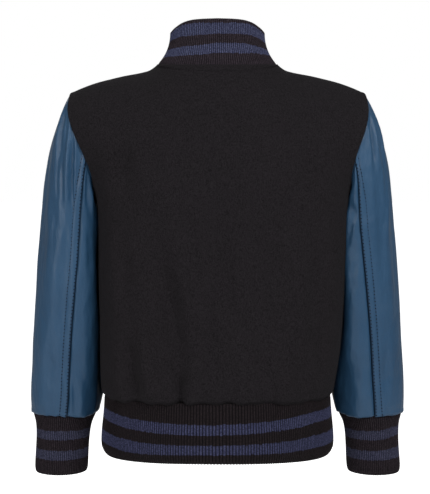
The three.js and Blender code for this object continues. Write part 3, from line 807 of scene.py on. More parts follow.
def new_group(name: str, inputs: dict[str, float | str], outputs: Sequence[str]) -> tuple[Shader, dict, bpy.types.Node]:
    """Start a shader node group.

    Args:
        name: the group's name.
        inputs: each input's name and first value, or "place" for a vector.
        outputs: names of the value outputs.
    Returns:
        The shader helper, the input sockets by name, and the output node.
    """
    tree = bpy.data.node_groups.new(name, "ShaderNodeTree")
    for key, value in inputs.items():
        kind = "NodeSocketVector" if value == "place" else "NodeSocketFloat"
        socket = tree.interface.new_socket(name=key, in_out="INPUT", socket_type=kind)
        if kind == "NodeSocketFloat":
            socket.default_value = value
    for key in outputs:
        tree.interface.new_socket(name=key, in_out="OUTPUT", socket_type="NodeSocketFloat")
    shader = Shader(tree)
    start, end = tree.nodes.new("NodeGroupInput"), tree.nodes.new("NodeGroupOutput")
    return shader, {key: start.outputs[key] for key in inputs}, end


def fibre_group() -> bpy.types.NodeTree:
    """Build the short nap and speckle of wool yarn."""
    s, given, end = new_group("fibre", {"Place": "place", "Nap": 900.0, "Cloud": 30.0}, ("Height", "Speckle", "Cloud"))
    nap = s.node("TexNoise", {"Vector": given["Place"], "Scale": given["Nap"], "Detail": 3.0, "Roughness": 0.65})
    tufts = s.node("TexNoise", {"Vector": given["Place"], "Scale": s.math("MULTIPLY", given["Nap"], 0.31), "Detail": 2.0})
    cloud = s.node("TexNoise", {"Vector": given["Place"], "Scale": given["Cloud"], "Detail": 3.0, "Roughness": 0.55})
    s.feed(end.inputs["Height"], s.math("ADD", nap.outputs[0], s.math("MULTIPLY", tufts.outputs[0], 0.8)))
    s.feed(end.inputs["Speckle"], s.spread(nap.outputs[0], 0.35, 0.68, 0, 1))
    s.feed(end.inputs["Cloud"], s.spread(cloud.outputs[0], 0.3, 0.7, 0, 1))
    return s.tree


def grain_group() -> bpy.types.NodeTree:
    """Build the fine pebble and pores of leather."""
    s, given, end = new_group("leather_grain", {"Place": "place", "Pebble": 1300.0, "Crease": 90.0}, ("Height", "Pores"))
    bent = s.node("TexNoise", {"Vector": given["Place"], "Scale": 400.0, "Detail": 2.0}).outputs[1]
    offset = s.node("VectorMath", {0: bent, "Scale": 0.0009}, operation="SCALE").outputs[0]
    place = s.node("VectorMath", {0: given["Place"], 1: offset}, operation="ADD").outputs[0]
    cells = s.node("TexVoronoi", {"Vector": place, "Scale": given["Pebble"]}, feature="SMOOTH_F1").outputs[0]
    creases = s.node("TexNoise", {"Vector": given["Place"], "Scale": given["Crease"], "Detail": 4.0, "Roughness": 0.6})
    ridge = s.math("ABSOLUTE", s.math("SUBTRACT", creases.outputs[0], 0.5))
    fine = s.spread(ridge, 0.0, 0.035, -0.35, 0)
    s.feed(end.inputs["Height"], s.math("ADD", s.math("MULTIPLY", cells, -1.0), fine))
    s.feed(end.inputs["Pores"], s.spread(cells, 0.25, 0.75, 0, 1))
    return s.tree


def knit_group() -> bpy.types.NodeTree:
    """Build the V stitches of a rib knit, on a map with ribs across and courses up, in metres."""
    inputs = {"Place": "place", "Rib": 0.002, "Course": 0.0014}
    s, given, end = new_group("rib_knit", inputs, ("Height", "ValleyShade", "Ragged"))
    parts = s.node("SeparateXYZ", {0: given["Place"]}).outputs
    ribs = s.math("DIVIDE", parts[0], given["Rib"])
    across = s.math("ABSOLUTE", s.math("SUBTRACT", s.math("FRACT", ribs), 0.5))
    slant = s.math("ADD", s.math("DIVIDE", parts[1], given["Course"]), s.math("MULTIPLY", across, 1.6))
    loops = s.math("ABSOLUTE", s.math("SUBTRACT", s.math("FRACT", slant), 0.5))
    s.feed(end.inputs["Height"], s.math("MULTIPLY", loops, -1.0))
    # ValleyShade marks the rib edges, where the colour is darkened as painted shade.
    s.feed(end.inputs["ValleyShade"], s.spread(across, 0.24, 0.46, 0, 1))
    whole = s.node("CombineXYZ", {0: s.math("FLOOR", ribs), 1: s.math("MULTIPLY", parts[1], 160.0)}).outputs[0]
    ragged = s.node("TexNoise", {"Vector": whole, "Scale": 0.9, "Detail": 2.0}).outputs[0]
    s.feed(end.inputs["Ragged"], s.spread(ragged, 0.25, 0.75, -1, 1))
    return s.tree


class Finishes:
    """The jacket's finishes: each material is made once."""

    def __init__(self) -> None:
        """Build the shared groups and every material."""
        self.fibre, self.grain, self.knit = fibre_group(), grain_group(), knit_group()
        self.wool = self.make_wool()
        self.leather = self.make_leather()
        # The waistband's rib colours are darkened as painted shade, the collar's lightened as painted light.
        self.cuff_rib = self.make_rib("cuff_rib", CUFF_STRIPES)
        self.band_rib = self.make_rib("waistband_rib", BAND_STRIPES_PAINTED_SHADE)
        self.collar_rib = self.make_rib("collar_rib", COLLAR_STRIPES_PAINTED_LIGHT)
        self.blue_thread = self.make_thread("blue_thread", linear(40, 64, 90))
        self.black_thread = self.make_thread("black_thread", linear(14, 12, 14))
        # Painted shade: flat dark discs between the stitches stand in for the shade inside needle holes.
        self.needle_hole_shade = self.make_thread("needle_hole_shade", linear(12, 24, 38))
        # Painted shade: a dark strip on the leather's long edges stands in for the shadow in the sleeve seams.
        self.seam_shade_edge = self.make_thread("painted_seam_shade", linear(20, 37, 55))
        self.snap = self.make_snap()

    @staticmethod
    def start(name: str) -> tuple[Shader, bpy.types.Node, bpy.types.Material]:
        """Start a material with its Principled shader."""
        material = bpy.data.materials.new(name)
        material.use_nodes = True
        shader = Shader(material.node_tree)
        surface = shader.node("BsdfPrincipled")
        shader.node("OutputMaterial", {"Surface": surface.outputs[0]})
        return shader, surface, material

    def make_wool(self) -> bpy.types.Material:
        """Black melton wool: matt, with a short nap over a fine weave."""
        s, surface, material = self.start("melton_wool")
        place = s.node("TexCoord").outputs["Object"]
        fibre = s.group(self.fibre, Place=place, Nap=900.0, Cloud=26.0).outputs
        lain = s.node("Mapping", {"Vector": place, "Scale": (1.0, 1.0, 0.5)}).outputs[0]
        weave = s.noise(lain, 800.0, 1.0)
        base = s.blend(fibre["Cloud"], linear(13, 12, 13), linear(17, 15, 17))
        napped = s.blend(s.spread(weave, 0.35, 0.65, 0, 0.75), base, linear(34, 31, 34))
        flecked = s.blend(s.math("MULTIPLY", fibre["Speckle"], 0.62), napped, linear(48, 45, 48))
        s.feed(surface.inputs["Base Color"], flecked)
        s.feed(surface.inputs["Roughness"], s.spread(fibre["Speckle"], 0, 1, 0.86, 0.98))
        surface.inputs["Specular IOR Level"].default_value = 0.03
        surface.inputs["Sheen Weight"].default_value = 0.015
        surface.inputs["Sheen Roughness"].default_value = 0.6
        height = s.math("ADD", fibre["Height"], s.math("MULTIPLY", weave, 0.9))
        bump = s.node("Bump", {"Height": height, "Strength": 0.9, "Distance": 0.0009})
        s.feed(surface.inputs["Normal"], bump.outputs[0])
        return material

    def make_leather(self) -> bpy.types.Material:
        """Steel-blue grain leather, softly glossy, a little uneven in its dye."""
        s, surface, material = self.start("blue_leather")
        place = s.node("TexCoord").outputs["Object"]
        grain = s.group(self.grain, Place=place, Pebble=1250.0, Crease=70.0).outputs
        cloud = s.noise(place, 14.0, 3.0)
        dye = s.blend(s.spread(cloud, 0.3, 0.7, 0, 1), linear(39, 73, 103), linear(47, 82, 113))
        # Darker between the grain's pebbles, where the grain lies low.
        darker_between_pebbles = s.blend(s.math("MULTIPLY", grain["Pores"], 0.25), dye, linear(30, 56, 84))
        s.feed(surface.inputs["Base Color"], darker_between_pebbles)
        s.feed(surface.inputs["Roughness"], s.spread(cloud, 0.3, 0.7, 0.36, 0.45))
        surface.inputs["Specular IOR Level"].default_value = 0.4
        slack = s.node("Mapping", {"Vector": place, "Scale": (1.0, 1.0, 0.4)}).outputs[0]
        creased = s.node("Bump", {"Height": s.noise(slack, 75.0, 2.5, 0.5), "Strength": 0.62, "Distance": 0.004})
        fine = {"Height": grain["Height"], "Strength": 0.35, "Distance": 0.00025, "Normal": creased.outputs[0]}
        s.feed(surface.inputs["Normal"], s.node("Bump", fine).outputs[0])
        return material

    def make_rib(self, name: str, stripes: Stripes) -> bpy.types.Material:
        """Rib knit in black with two navy stripes whose edges step from stitch to stitch, and painted shade in the
        valleys between ribs.
        """
        s, surface, material = self.start(name)
        where = s.node("UVMap", uv_map="UVMap").outputs[0]
        place = s.node("TexCoord").outputs["Object"]
        knit = s.group(self.knit, Place=where).outputs
        fibre = s.group(self.fibre, Place=place, Nap=780.0, Cloud=60.0).outputs
        ragged = s.math("MULTIPLY", knit["Ragged"], 0.0009)
        height = s.math("ADD", s.node("SeparateXYZ", {0: where}).outputs[1], ragged)
        in_stripe = s.math("ADD", stripes.mask(s, height, 0), stripes.mask(s, height, 1), clamp=True)
        black = s.blend(fibre["Speckle"], stripes.black, stripes.black_fleck)
        navy = s.blend(fibre["Speckle"], stripes.navy, stripes.navy_fleck)
        colour = s.blend(in_stripe, black, navy)
        # Painted shade: the colour darkens almost to black in the valleys between ribs.
        s.feed(surface.inputs["Base Color"], s.blend(s.math("MULTIPLY", knit["ValleyShade"], 0.92), colour, linear(6, 5, 7)))
        s.feed(surface.inputs["Roughness"], s.spread(fibre["Speckle"], 0, 1, 0.82, 0.95))
        surface.inputs["Specular IOR Level"].default_value = 0.08
        surface.inputs["Sheen Weight"].default_value = 0.03
        surface.inputs["Sheen Roughness"].default_value = 0.5
        loops = s.math("ADD", s.math("MULTIPLY", knit["Height"], 0.9), s.math("MULTIPLY", fibre["Height"], 0.4))
        bump = s.node("Bump", {"Height": loops, "Strength": 0.75, "Distance": 0.0007})
        s.feed(surface.inputs["Normal"], bump.outputs[0])
        return material

    def make_thread(self, name: str, colour: tuple[float, ...]) -> bpy.types.Material:
        """Twisted sewing thread; the same speckled matt finish also serves the painted shade of needle holes and seam
        edges.
        """
        s, surface, material = self.start(name)
        place = s.node("TexCoord").outputs["Object"]
        fleck = s.noise(place, 1500.0, 1.0)
        lighter = tuple(min(c * 1.7, 1.0) for c in colour[:3]) + (1.0,)
        s.feed(surface.inputs["Base Color"], s.blend(s.spread(fleck, 0.4, 0.65, 0, 1), colour, lighter))
        s.feed(surface.inputs["Roughness"], s.spread(fleck, 0.3, 0.7, 0.6, 0.8))
        surface.inputs["Specular IOR Level"].default_value = 0.2
        return material

    def make_snap(self) -> bpy.types.Material:
        """Dark enamelled cap with a soft shine and faint handling marks."""
        s, surface, material = self.start("snap_enamel")
        place = s.node("TexCoord").outputs["Object"]
        rubbed = s.noise(place, 260.0, 4.0, 0.6)
        s.feed(surface.inputs["Base Color"], s.blend(s.spread(rubbed, 0.45, 0.75, 0, 1), linear(36, 42, 54), linear(60, 66, 78)))
        s.feed(surface.inputs["Roughness"], s.spread(rubbed, 0.3, 0.7, 0.24, 0.42))
        surface.inputs["Metallic"].default_value = 0.35
        bump = s.node("Bump", {"Height": rubbed, "Strength": 0.15, "Distance": 0.0002})
        s.feed(surface.inputs["Normal"], bump.outputs[0])
        return material


@dataclass(frozen=True)
class Stripes:
    """Two navy stripes on a rib piece: how high each starts and ends above its seam, and the colours."""

    spans: tuple[tuple[float, float], tuple[float, float]]
    black: tuple[float, ...]
    black_fleck: tuple[float, ...]
    navy: tuple[float, ...]
    navy_fleck: tuple[float, ...]

    def mask(self, s: Shader, height: bpy.types.NodeSocket, index: int) -> bpy.types.NodeSocket:
        """Return 1 inside one stripe and 0 outside it."""
        low, high = (level * MM for level in self.spans[index])
        soft = 0.00015
        rise = s.spread(height, low - soft, low + soft, 0, 1)
        return s.math("MULTIPLY", rise, s.spread(height, high - soft, high + soft, 1, 0))


# One rib yarn in lit and shaded copies: the waistband's colours are darkened as painted shade, the collar's lightened
# as painted light.
BAND_STRIPES_PAINTED_SHADE = Stripes(
    ((16.0, 27.0), (38.5, 49.5)), linear(17, 14, 15), linear(42, 35, 38), linear(34, 36, 60), linear(74, 77, 106)
)
CUFF_STRIPES = Stripes(
    ((17.0, 27.0), (39.0, 49.5)), linear(22, 18, 21), linear(55, 47, 53), linear(36, 38, 58), linear(80, 81, 102)
)
COLLAR_STRIPES_PAINTED_LIGHT = Stripes(
    ((12.2, 22.8), (33.8, 46.0)), linear(31, 26, 31), linear(62, 54, 61), linear(44, 47, 74), linear(90, 94, 122)
)


# Where the stripes' four edges lie above the seam, by the way round the piece
COLLAR_HEIGHT = 50.6
BAND_LEVELS = tracks(
    (-0.05, 16, 27, 38.5, 49.5),
    (1, 10.5, 22.2, 35.2, 48.4),
    (1.47, 9.8, 21.7, 34.8, 48.3),
    (1.6, 12.4, 24.6, 37.0, 49.2),
    (1.73, 15.6, 26.8, 38.8, 50.6),
    (2, 20.0, 30.8, 41.4, 51.4),
    (2.2, 19.0, 29.9, 41.0, 51.9),
    (2.4, 16.2, 27.4, 39.2, 52.2),
    (2.65, 12.6, 23.8, 36.2, 48.6),
    (3, 12.2, 23.4, 35.8, 48.2),
    (4.05, 16, 27, 38.5, 49.5),
)
CUFF_LEVELS = tracks(
    (0, 17, 27, 39, 49.5),
    (100, 16.5, 26.8, 38.8, 49.5),
    (121, 14.2, 25.2, 37.4, 49.3),
    (140, 13.5, 24.0, 37.0, 48.9),
    (190, 13.4, 24.0, 37.0, 48.9),
    (300, 17, 27, 39, 49.5),
    (360, 17, 27, 39, 49.5),
)
COLLAR_LEVELS = tracks(
    (-2, 12.4, 23.0, 34.0, 46.0),
    (-0.7, 13.9, 22.4, 33.3, 45.4),
    (-0.5, 13.5, 22.4, 34.2, 46.8),
    (-0.28, 12.9, 23.8, 34.2, 46.6),
    (0.02, 12.4, 23.8, 33.7, 45.3),
    (0.2, 10.9, 21.8, 33.1, 45.8),
    (0.33, 10.3, 20.8, 32.7, 46.3),
    (0.5, 10.4, 21.0, 34.0, 47.6),
    (0.7, 10.8, 21.8, 35.0, 47.6),
    (1, 11.6, 22.4, 34.0, 46.4),
    (2, 12.4, 23.0, 34.0, 46.0),
)


def bend_levels(ways: Array, heights: Array, levels: Sequence[Track], stripes: Stripes, end: float) -> Array:
    """Bend heights so that each stripe lies where it is read at every way.

    Args:
        ways: the way round the piece, one value a column.
        heights: height above the seam at each place.
        levels: how high the stripes' four edges lie, by way.
        stripes: where the material draws them.
        end: the piece's height.
    Returns:
        Heights in which the stripes are level.
    """
    drawn = [0.0, *(edge for span in stripes.spans for edge in span), end]
    bent = np.empty_like(heights)
    for c in range(heights.shape[1]):
        marks = [0.0, *(float(level(ways[0, c])) for level in levels), end]
        bent[:, c] = np.interp(heights[:, c], marks, drawn)
    return bent


# The garment's pieces come next


@dataclass
class Panels:
    """Back and fronts in wool."""

    finishes: Finishes
    row_count: int = 150
    fold_depth: float = 1.5
    back_folds: tuple[Fold, ...] = (
        Fold((52, -214), (35, -362), 10, 4.0),
        Fold((40, -322), (37, -364), 3.4, 3.0),
        Fold((27, -314), (27, -362), 7, -1.6),
        Fold((47, -326), (52, -362), 6, -1.5),
        Fold((66, -170), (52, -296), 13, 2.8),
        Fold((-1, -172), (-9, -268), 9, 2.2),
        Fold((8, -248), (3, -332), 7, 2.0),
        Fold((93, -290), (84, -364), 9, 3.6),
        Fold((78, -296), (69, -360), 8, -2.0),
        Fold((110, -160), (104, -296), 8, -1.8),
        Fold((99, -84), (95, -152), 10, 2.4),
        Fold((-100, -194), (-108, -348), 12, 3.2),
        Fold((-84, -306), (-97, -362), 8, 2.4),
        Fold((-46, -312), (-52, -362), 9, 1.8),
        Fold((-14, -320), (-12, -362), 6, 1.7),
        Fold((-70, -322), (-66, -362), 7, -1.5),
        Fold((-62, -196), (-70, -300), 15, 1.6),
        Fold((-96, -92), (-88, -150), 11, 1.8),
    )
    front_folds: tuple[Fold, ...] = (
        Fold((104, -146), (82, -268), 14, 3.0),
        Fold((-108, -154), (-86, -250), 15, 2.8),
        Fold((66, -224), (74, -360), 11, 3.0),
        Fold((-62, -256), (-58, -362), 10, 2.7),
        Fold((106, -246), (98, -360), 10, 2.6),
        Fold((-96, -276), (-102, -360), 9, 2.4),
        Fold((40, -306), (44, -362), 7, 1.9),
        Fold((-28, -316), (-32, -362), 7, 1.7),
        Fold((108, -78), (92, -146), 11, 2.4),
        Fold((-110, -82), (-94, -150), 11, 2.2),
    )

    def quarter(self, steps: int) -> Array:
        """Columns from the centre line to the side seam, closer together at the seam."""
        inner = np.linspace(0, 0.94, steps)
        return np.concatenate([inner, np.linspace(0.94, 1, 9)[1:]])

    def levels(self) -> Array:
        """Rows from the hem to the neckline, closer together at both ends."""
        ends = np.linspace(0, 1, 7)[1:]
        low = -1 + 0.035 * ends
        high = 0.95 + 0.05 * ends
        return np.concatenate([[-1], low, np.linspace(low[-1], 0.95, self.row_count)[1:], high])

    def relief(self, half: Half, seed: int) -> Relief:
        """Make the wool's folds, hem gathers and seam ridges for one half of the body."""

        def swell(grid: Grid) -> Array:
            """Raise and sink the wool over its form."""
            x, z = grid.place[..., 0], grid.place[..., 2]
            sunk = self.fold_depth * sink_all(self.back_folds if half is BACK else self.front_folds, x, z)
            calm = smooth_step(grid.away("top"), 0, 40)
            uneven = 0.4 * waver(grid.place, 85, seed) * calm
            gathers = 0.7 * pucker(x, grid.away("bottom"), 24, 15, seed + 1)
            at_neck = (grid.row > 0.5) * (1 - smooth_step(np.abs(grid.column), NECK_SHARE - 0.04, NECK_SHARE + 0.03))
            ridge = 1.2 * (1 - smooth_step(grid.away("top"), 10.2, 11.4)) * at_neck
            return -sunk + uneven + gathers * (1 - smooth_step(grid.row, -0.95, -0.7)) + ridge

        return swell

    @staticmethod
    def hem(half: Half, u: Array, v: Array) -> Array:
        """Lay a panel, smoothed where armhole and side meet, with a slightly uneven hem seam."""
        place = Form.body(half, u, v)
        share = np.exp(-((v / 0.11) ** 2)) * (1 - smooth_step(np.abs(u), 0.86, 0.98)) / 4
        for _ in range(60):
            place[1:-1] += share[1:-1, :, None] * (place[:-2] - 2 * place[1:-1] + place[2:])
        sag = 1.3 * waver(place * (1, 1, 0), 48, 3) - 0.9
        place[..., 2] += sag * smooth_step(-np.asarray(v, float), 0.93, 1)
        return place

    def build(self) -> list[bpy.types.Object]:
        """Build the three panels and their stitches."""
        quarter = self.quarter(62)
        edges = {"top": Edge.SEWN, "bottom": Edge.HEMMED}
        back = ClothPiece(
            name="back_panel_wool",
            nodes=("back_panel",),
            slot="wool",
            surface=lambda u, v: self.hem(BACK, u, v),
            columns=np.concatenate([-quarter[:0:-1], quarter]),
            rows=self.levels(),
            thick=WOOL,
            sign=-1,
            edges={**edges, "left": Edge.PROUD, "right": Edge.PROUD},
            flat=(0.385, 0.375),
            area=0.131,
            relief=self.relief(BACK, 11),
            materials=[self.finishes.wool],
        )
        lap = np.linspace(-OVERLAP, 0, 7)[:-1]
        lapped = np.concatenate([lap, quarter])
        left = ClothPiece(
            name="front_left_wool",
            nodes=("front_left",),
            slot="wool",
            surface=self.lapped_front,
            columns=lapped,
            rows=self.levels(),
            thick=WOOL,
            sign=1,
            edges={**edges, "left": Edge.FREE, "right": Edge.PROUD},
            flat=(0.2, 0.36),
            area=0.067,
            relief=self.relief(FRONT, 23),
            materials=[self.finishes.wool],
        )
        right = ClothPiece(
            name="front_right_wool",
            nodes=("front_right",),
            slot="wool",
            surface=lambda u, v: self.hem(FRONT, u, v),
            columns=-lapped[::-1],
            rows=self.levels(),
            thick=WOOL,
            sign=1,
            edges={**edges, "left": Edge.PROUD, "right": Edge.FREE},
            flat=(0.2, 0.36),
            area=0.067,
            relief=self.relief(FRONT, 37),
            materials=[self.finishes.wool],
        )
        made = [piece.build() for piece in (back, left, right)]
        self.sew(back, left, right)
        return made

    def sew(self, back: ClothPiece, left: ClothPiece, right: ClothPiece) -> None:
        """Sew the neck and the front edges in black thread."""
        stitches = Stitches("body_stitches", self.finishes.black_thread, "wool", pitch=3.2, length=2.3)
        for piece in (back, left, right):
            line = piece.line("top", 9.7)
            on_neck = np.abs(piece.columns) <= NECK_SHARE - 0.03
            stitches.lines.append(Line(line.places[on_neck], line.normals[on_neck]))
        for piece, side in ((left, "left"), (right, "right")):
            stitches.lines.append(piece.line(side, 5.0))
        stitches.build()

    @staticmethod
    def lapped_front(u: Array, v: Array) -> Array:
        """Lay the left front, whose edge stands out over the right one."""
        return Panels.hem(FRONT, u, v) + lap_lift(u)[..., None] * np.array((0, -1, 0))


@dataclass
class Sleeve:
    """One sleeve: an upper and an under piece of leather."""

    finishes: Finishes
    side: int
    topstitch: float = 8.0
    fullness: float = 3.6
    left_folds: tuple[Fold, ...] = (
        Fold((69, 0), (60, 70), 2.8, 3.0),
        Fold((74, 0), (66, 78), 3.6, -1.4),
        Fold((80, 6), (70, 96), 3.0, 1.3),
        Fold((93, 0), (75, 66), 4, 2.2),
        Fold((98, 0), (82, 96), 3, -1.7),
        Fold((87, 36), (77, 150), 7, 2.2),
        Fold((101, 56), (91, 214), 9, 1.9),
        Fold((66, 88), (60, 214), 6, 1.6),
        Fold((45, 2), (40, 46), 2.8, 1.6),
        Fold((35, 6), (39, 44), 2.8, -1.3),
        Fold((40, 60), (36, 112), 3.0, 1.2),
        Fold((31, 44), (20, 134), 8, 2.2),
        Fold((32, 120), (36, 156), 3.4, 1.0),
        Fold((14, 160), (8, 220), 7, 3.0),
        Fold((33, 214), (25, 268), 6, 1.6),
        Fold((44, 232), (40, 276), 3.0, 2.2),
        Fold((52, 238), (53, 278), 4.0, -1.2),
        Fold((67, 240), (71, 280), 6, 1.6),
        Fold((128, 36), (126, 236), 11, 2.0),
        Fold((156, 16), (160, 196), 10, 2.8),
        Fold((186, 104), (182, 268), 8, 2.4),
        Fold((212, 36), (206, 166), 8, 2.2),
    )
    right_folds: tuple[Fold, ...] = (
        Fold((83, 0), (74, 52), 3.2, 2.4),
        Fold((89, 0), (80, 66), 3.2, -1.3),
        Fold((99, 0), (92, 100), 5, 2.0),
        Fold((107, 16), (84, 128), 3.6, -1.9),
        Fold((112, 30), (92, 132), 4.4, 1.2),
        Fold((76, 54), (72, 160), 7, 1.8),
        Fold((100, 84), (92, 236), 9, 1.9),
        Fold((52, 0), (50, 44), 3.4, 1.7),
        Fold((37, 30), (47, 60), 2.6, 2.0),
        Fold((42, 52), (34, 78), 2.6, 1.6),
        Fold((30, 36), (24, 80), 4, 1.7),
        Fold((26, 94), (18, 174), 8, 2.4),
        Fold((40, 96), (36, 130), 3.2, 1.0),
        Fold((30, 190), (21, 268), 8, 2.4),
        Fold((40, 220), (44, 268), 5, -1.5),
        Fold((62, 234), (66, 278), 5, 1.6),
        Fold((128, 46), (124, 226), 11, 2.0),
        Fold((158, 20), (162, 186), 10, 2.6),
        Fold((188, 94), (182, 256), 8, 2.4),
        Fold((214, 46), (208, 176), 8, 2.0),
    )

    def rows(self) -> Array:
        """Rows from the armhole to the cuff seam, closer together at both ends."""
        ends = np.linspace(0, 1, 7)[1:]
        return np.concatenate([[-1, 0], 0.06 * ends, np.linspace(0.06, 1.94, 150)[1:], 1.94 + 0.06 * ends])

    def lay(self, angle: Array, along: Array) -> Array:
        """Lay the leather, with an allowance that runs in under the wool before the armhole."""
        hidden = np.clip(-along, 0, 1)[..., None]
        return Form.sleeve(self.side, angle, np.maximum(along, 0)) - hidden * (self.side * 2.5, 0, 0.6)

    def swell(self, grid: Grid) -> Array:
        """Raise and sink the leather: folds, cap ease, and small gathers at the cuff."""
        round_mm = np.degrees(np.mod(grid.column, 2 * math.pi)) * 0.66
        down, from_cuff = grid.away("bottom"), grid.away("top")
        sunk = sink_all(self.left_folds if self.side > 0 else self.right_folds, round_mm, down)
        uneven = 0.4 * waver(grid.place, 70, 5 + self.side) * smooth_step(down, 0, 30)
        crinkle = 0.2 * waver(grid.place * (1, 1, 0.6), 15, 15 + self.side)
        under = 1 - smooth_step(np.abs(np.cos(grid.column / 2)), 0.2, 0.75)
        ease = 0.4 * pucker(round_mm, down, 15, 14, 41 + self.side)
        gathers = 0.4 * pucker(round_mm, from_cuff, 13, 9, 47 + self.side)
        inset = 0.9 * smooth_step(down, 0, 9) * smooth_step(from_cuff, 0, 8)
        inset = inset * smooth_step(-np.cos(grid.column), -0.9, 0.0)
        inset = inset - self.fullness * np.exp(-(((round_mm - 32) / 12) ** 2)) * smooth_step(down, 3, 24)
        slack = uneven + ease + gathers + crinkle * (1.25 - under)
        return slack - inset - sunk * smooth_step(down, 0, 16) * smooth_step(from_cuff, 0, 6)

    def upper_swell(self, grid: Grid) -> Array:
        """Add the allowance that is stitched down beside both seams."""
        total = self.swell(grid)
        for side in ("left", "right"):
            away = grid.away(side)
            strip = np.sin(math.pi * np.clip(away / self.topstitch, 0, 1)) ** 0.7
            total += 0.8 * strip - 0.55 * np.exp(-(((away - self.topstitch) / 0.9) ** 2))
        return total

    def sew(self, upper: ClothPiece) -> None:
        """Sew both long seams twice, beside the seam and at the allowance's edge."""
        name = f"sleeve_{'left' if self.side > 0 else 'right'}_stitches"
        stitches = Stitches(name, self.finishes.blue_thread, "leather", hole_shade=self.finishes.needle_hole_shade)
        for side in ("left", "right"):
            stitches.lines += [upper.line(side, self.topstitch), upper.line(side, 1.5)]
        stitches.build()

    def build(self) -> list[bpy.types.Object]:
        """Build both pieces of this sleeve and their stitches."""
        name = f"sleeve_{'left' if self.side > 0 else 'right'}"
        edge_steps = np.linspace(0, 1, 6)[1:] * math.radians(6)
        made = []
        left = self.side > 0
        under_cut, upper_cut = (0.125, 0.285, 0.0285), (0.21, 0.365, 0.0505)
        if not left:
            under_cut, upper_cut = (0.135, 0.285, 0.0305), (0.2, 0.365, 0.047)
        for part, first, last, count, (width, length, area) in (
            ("under", -SLEEVE_SEAM, SLEEVE_SEAM, 60, under_cut),
            ("upper", SLEEVE_SEAM, 2 * math.pi - SLEEVE_SEAM, 90, upper_cut),
        ):
            long_edge = Edge.LAPPED if part == "upper" else Edge.BUTTED
            middle = np.linspace(first + edge_steps[-1], last - edge_steps[-1], count)
            columns = np.concatenate([[first], first + edge_steps[:-1], middle, last - edge_steps[-2::-1], [last]])
            piece = ClothPiece(
                name=f"{name}_{part}_leather",
                nodes=(f"{name}_{part}",),
                slot="leather",
                surface=self.lay,
                columns=columns,
                rows=self.rows(),
                thick=LEATHER,
                sign=self.side,
                edges={"left": long_edge, "right": long_edge, "bottom": Edge.UNDERLAID, "top": Edge.PROUD},
                flat=(width, length),
                area=area,
                relief=self.upper_swell if part == "upper" else self.swell,
                # The second material paints seam shade along both long edges.
                materials=[self.finishes.leather, self.finishes.seam_shade_edge],
            )
            made.append(piece)
        built = [piece.build() for piece in made]
        self.sew(made[1])
        return built


@dataclass
class Stitches:
    """Rows of stitches in one thread, joined into one piece."""

    name: str
    thread: bpy.types.Material
    slot: str
    pitch: float = 3.8
    length: float = 2.4
    radius: float = 0.38
    hole: float = 0.95
    lines: list[Line] = field(default_factory=list)
    hole_shade: bpy.types.Material | None = None

    def build(self) -> bpy.types.Object:
        """Lay a slim rounded stitch at every step of every line, and a flat dark disc of painted shade for a needle
        hole between two.
        """
        bm = bmesh.new()
        for line in self.lines:
            row = bmesh.new()
            for place, way, normal in line.steps(self.pitch, 4.0):
                across = np.cross(normal, way)
                axes = (across * self.radius, normal * self.radius, way * self.length / 2)
                self.bead(row, axes, place + normal * self.radius * 0.35, 0)
                # Painted shade of a needle hole: a flat dark disc on the leather.
                if self.hole_shade:
                    axes = (across * self.hole, normal * 0.16, way * self.hole * 0.8)
                    self.bead(row, axes, place + way * self.pitch / 2 + normal * 0.04, 1)
            sewn = bpy.data.meshes.new("row")
            row.to_mesh(sewn)
            row.free()
            bm.from_mesh(sewn)
            bpy.data.meshes.remove(sewn)
        for face in bm.faces:
            face.smooth = True
        bmesh.ops.recalc_face_normals(bm, faces=bm.faces[:])
        piece = finish_mesh(bm, self.name, [self.thread, *([self.hole_shade] if self.hole_shade else [])])
        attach(piece, BODY)
        LOG.info("%s: %d lines of stitches", self.name, len(self.lines))
        return piece

    @staticmethod
    def bead(bm: bmesh.types.BMesh, axes: Sequence[Array], centre: Array, material: int) -> None:
        """Add one small rounded body, stretched along three axes."""
        turn = Matrix([tuple(axis * MM) for axis in axes]).transposed().to_4x4()
        turn.translation = Vector(centre) * MM
        made = bmesh.ops.create_uvsphere(bm, u_segments=6, v_segments=4, radius=1.0, matrix=turn)
        for face in {face for vert in made["verts"] for face in vert.link_faces}:
            face.material_index = material


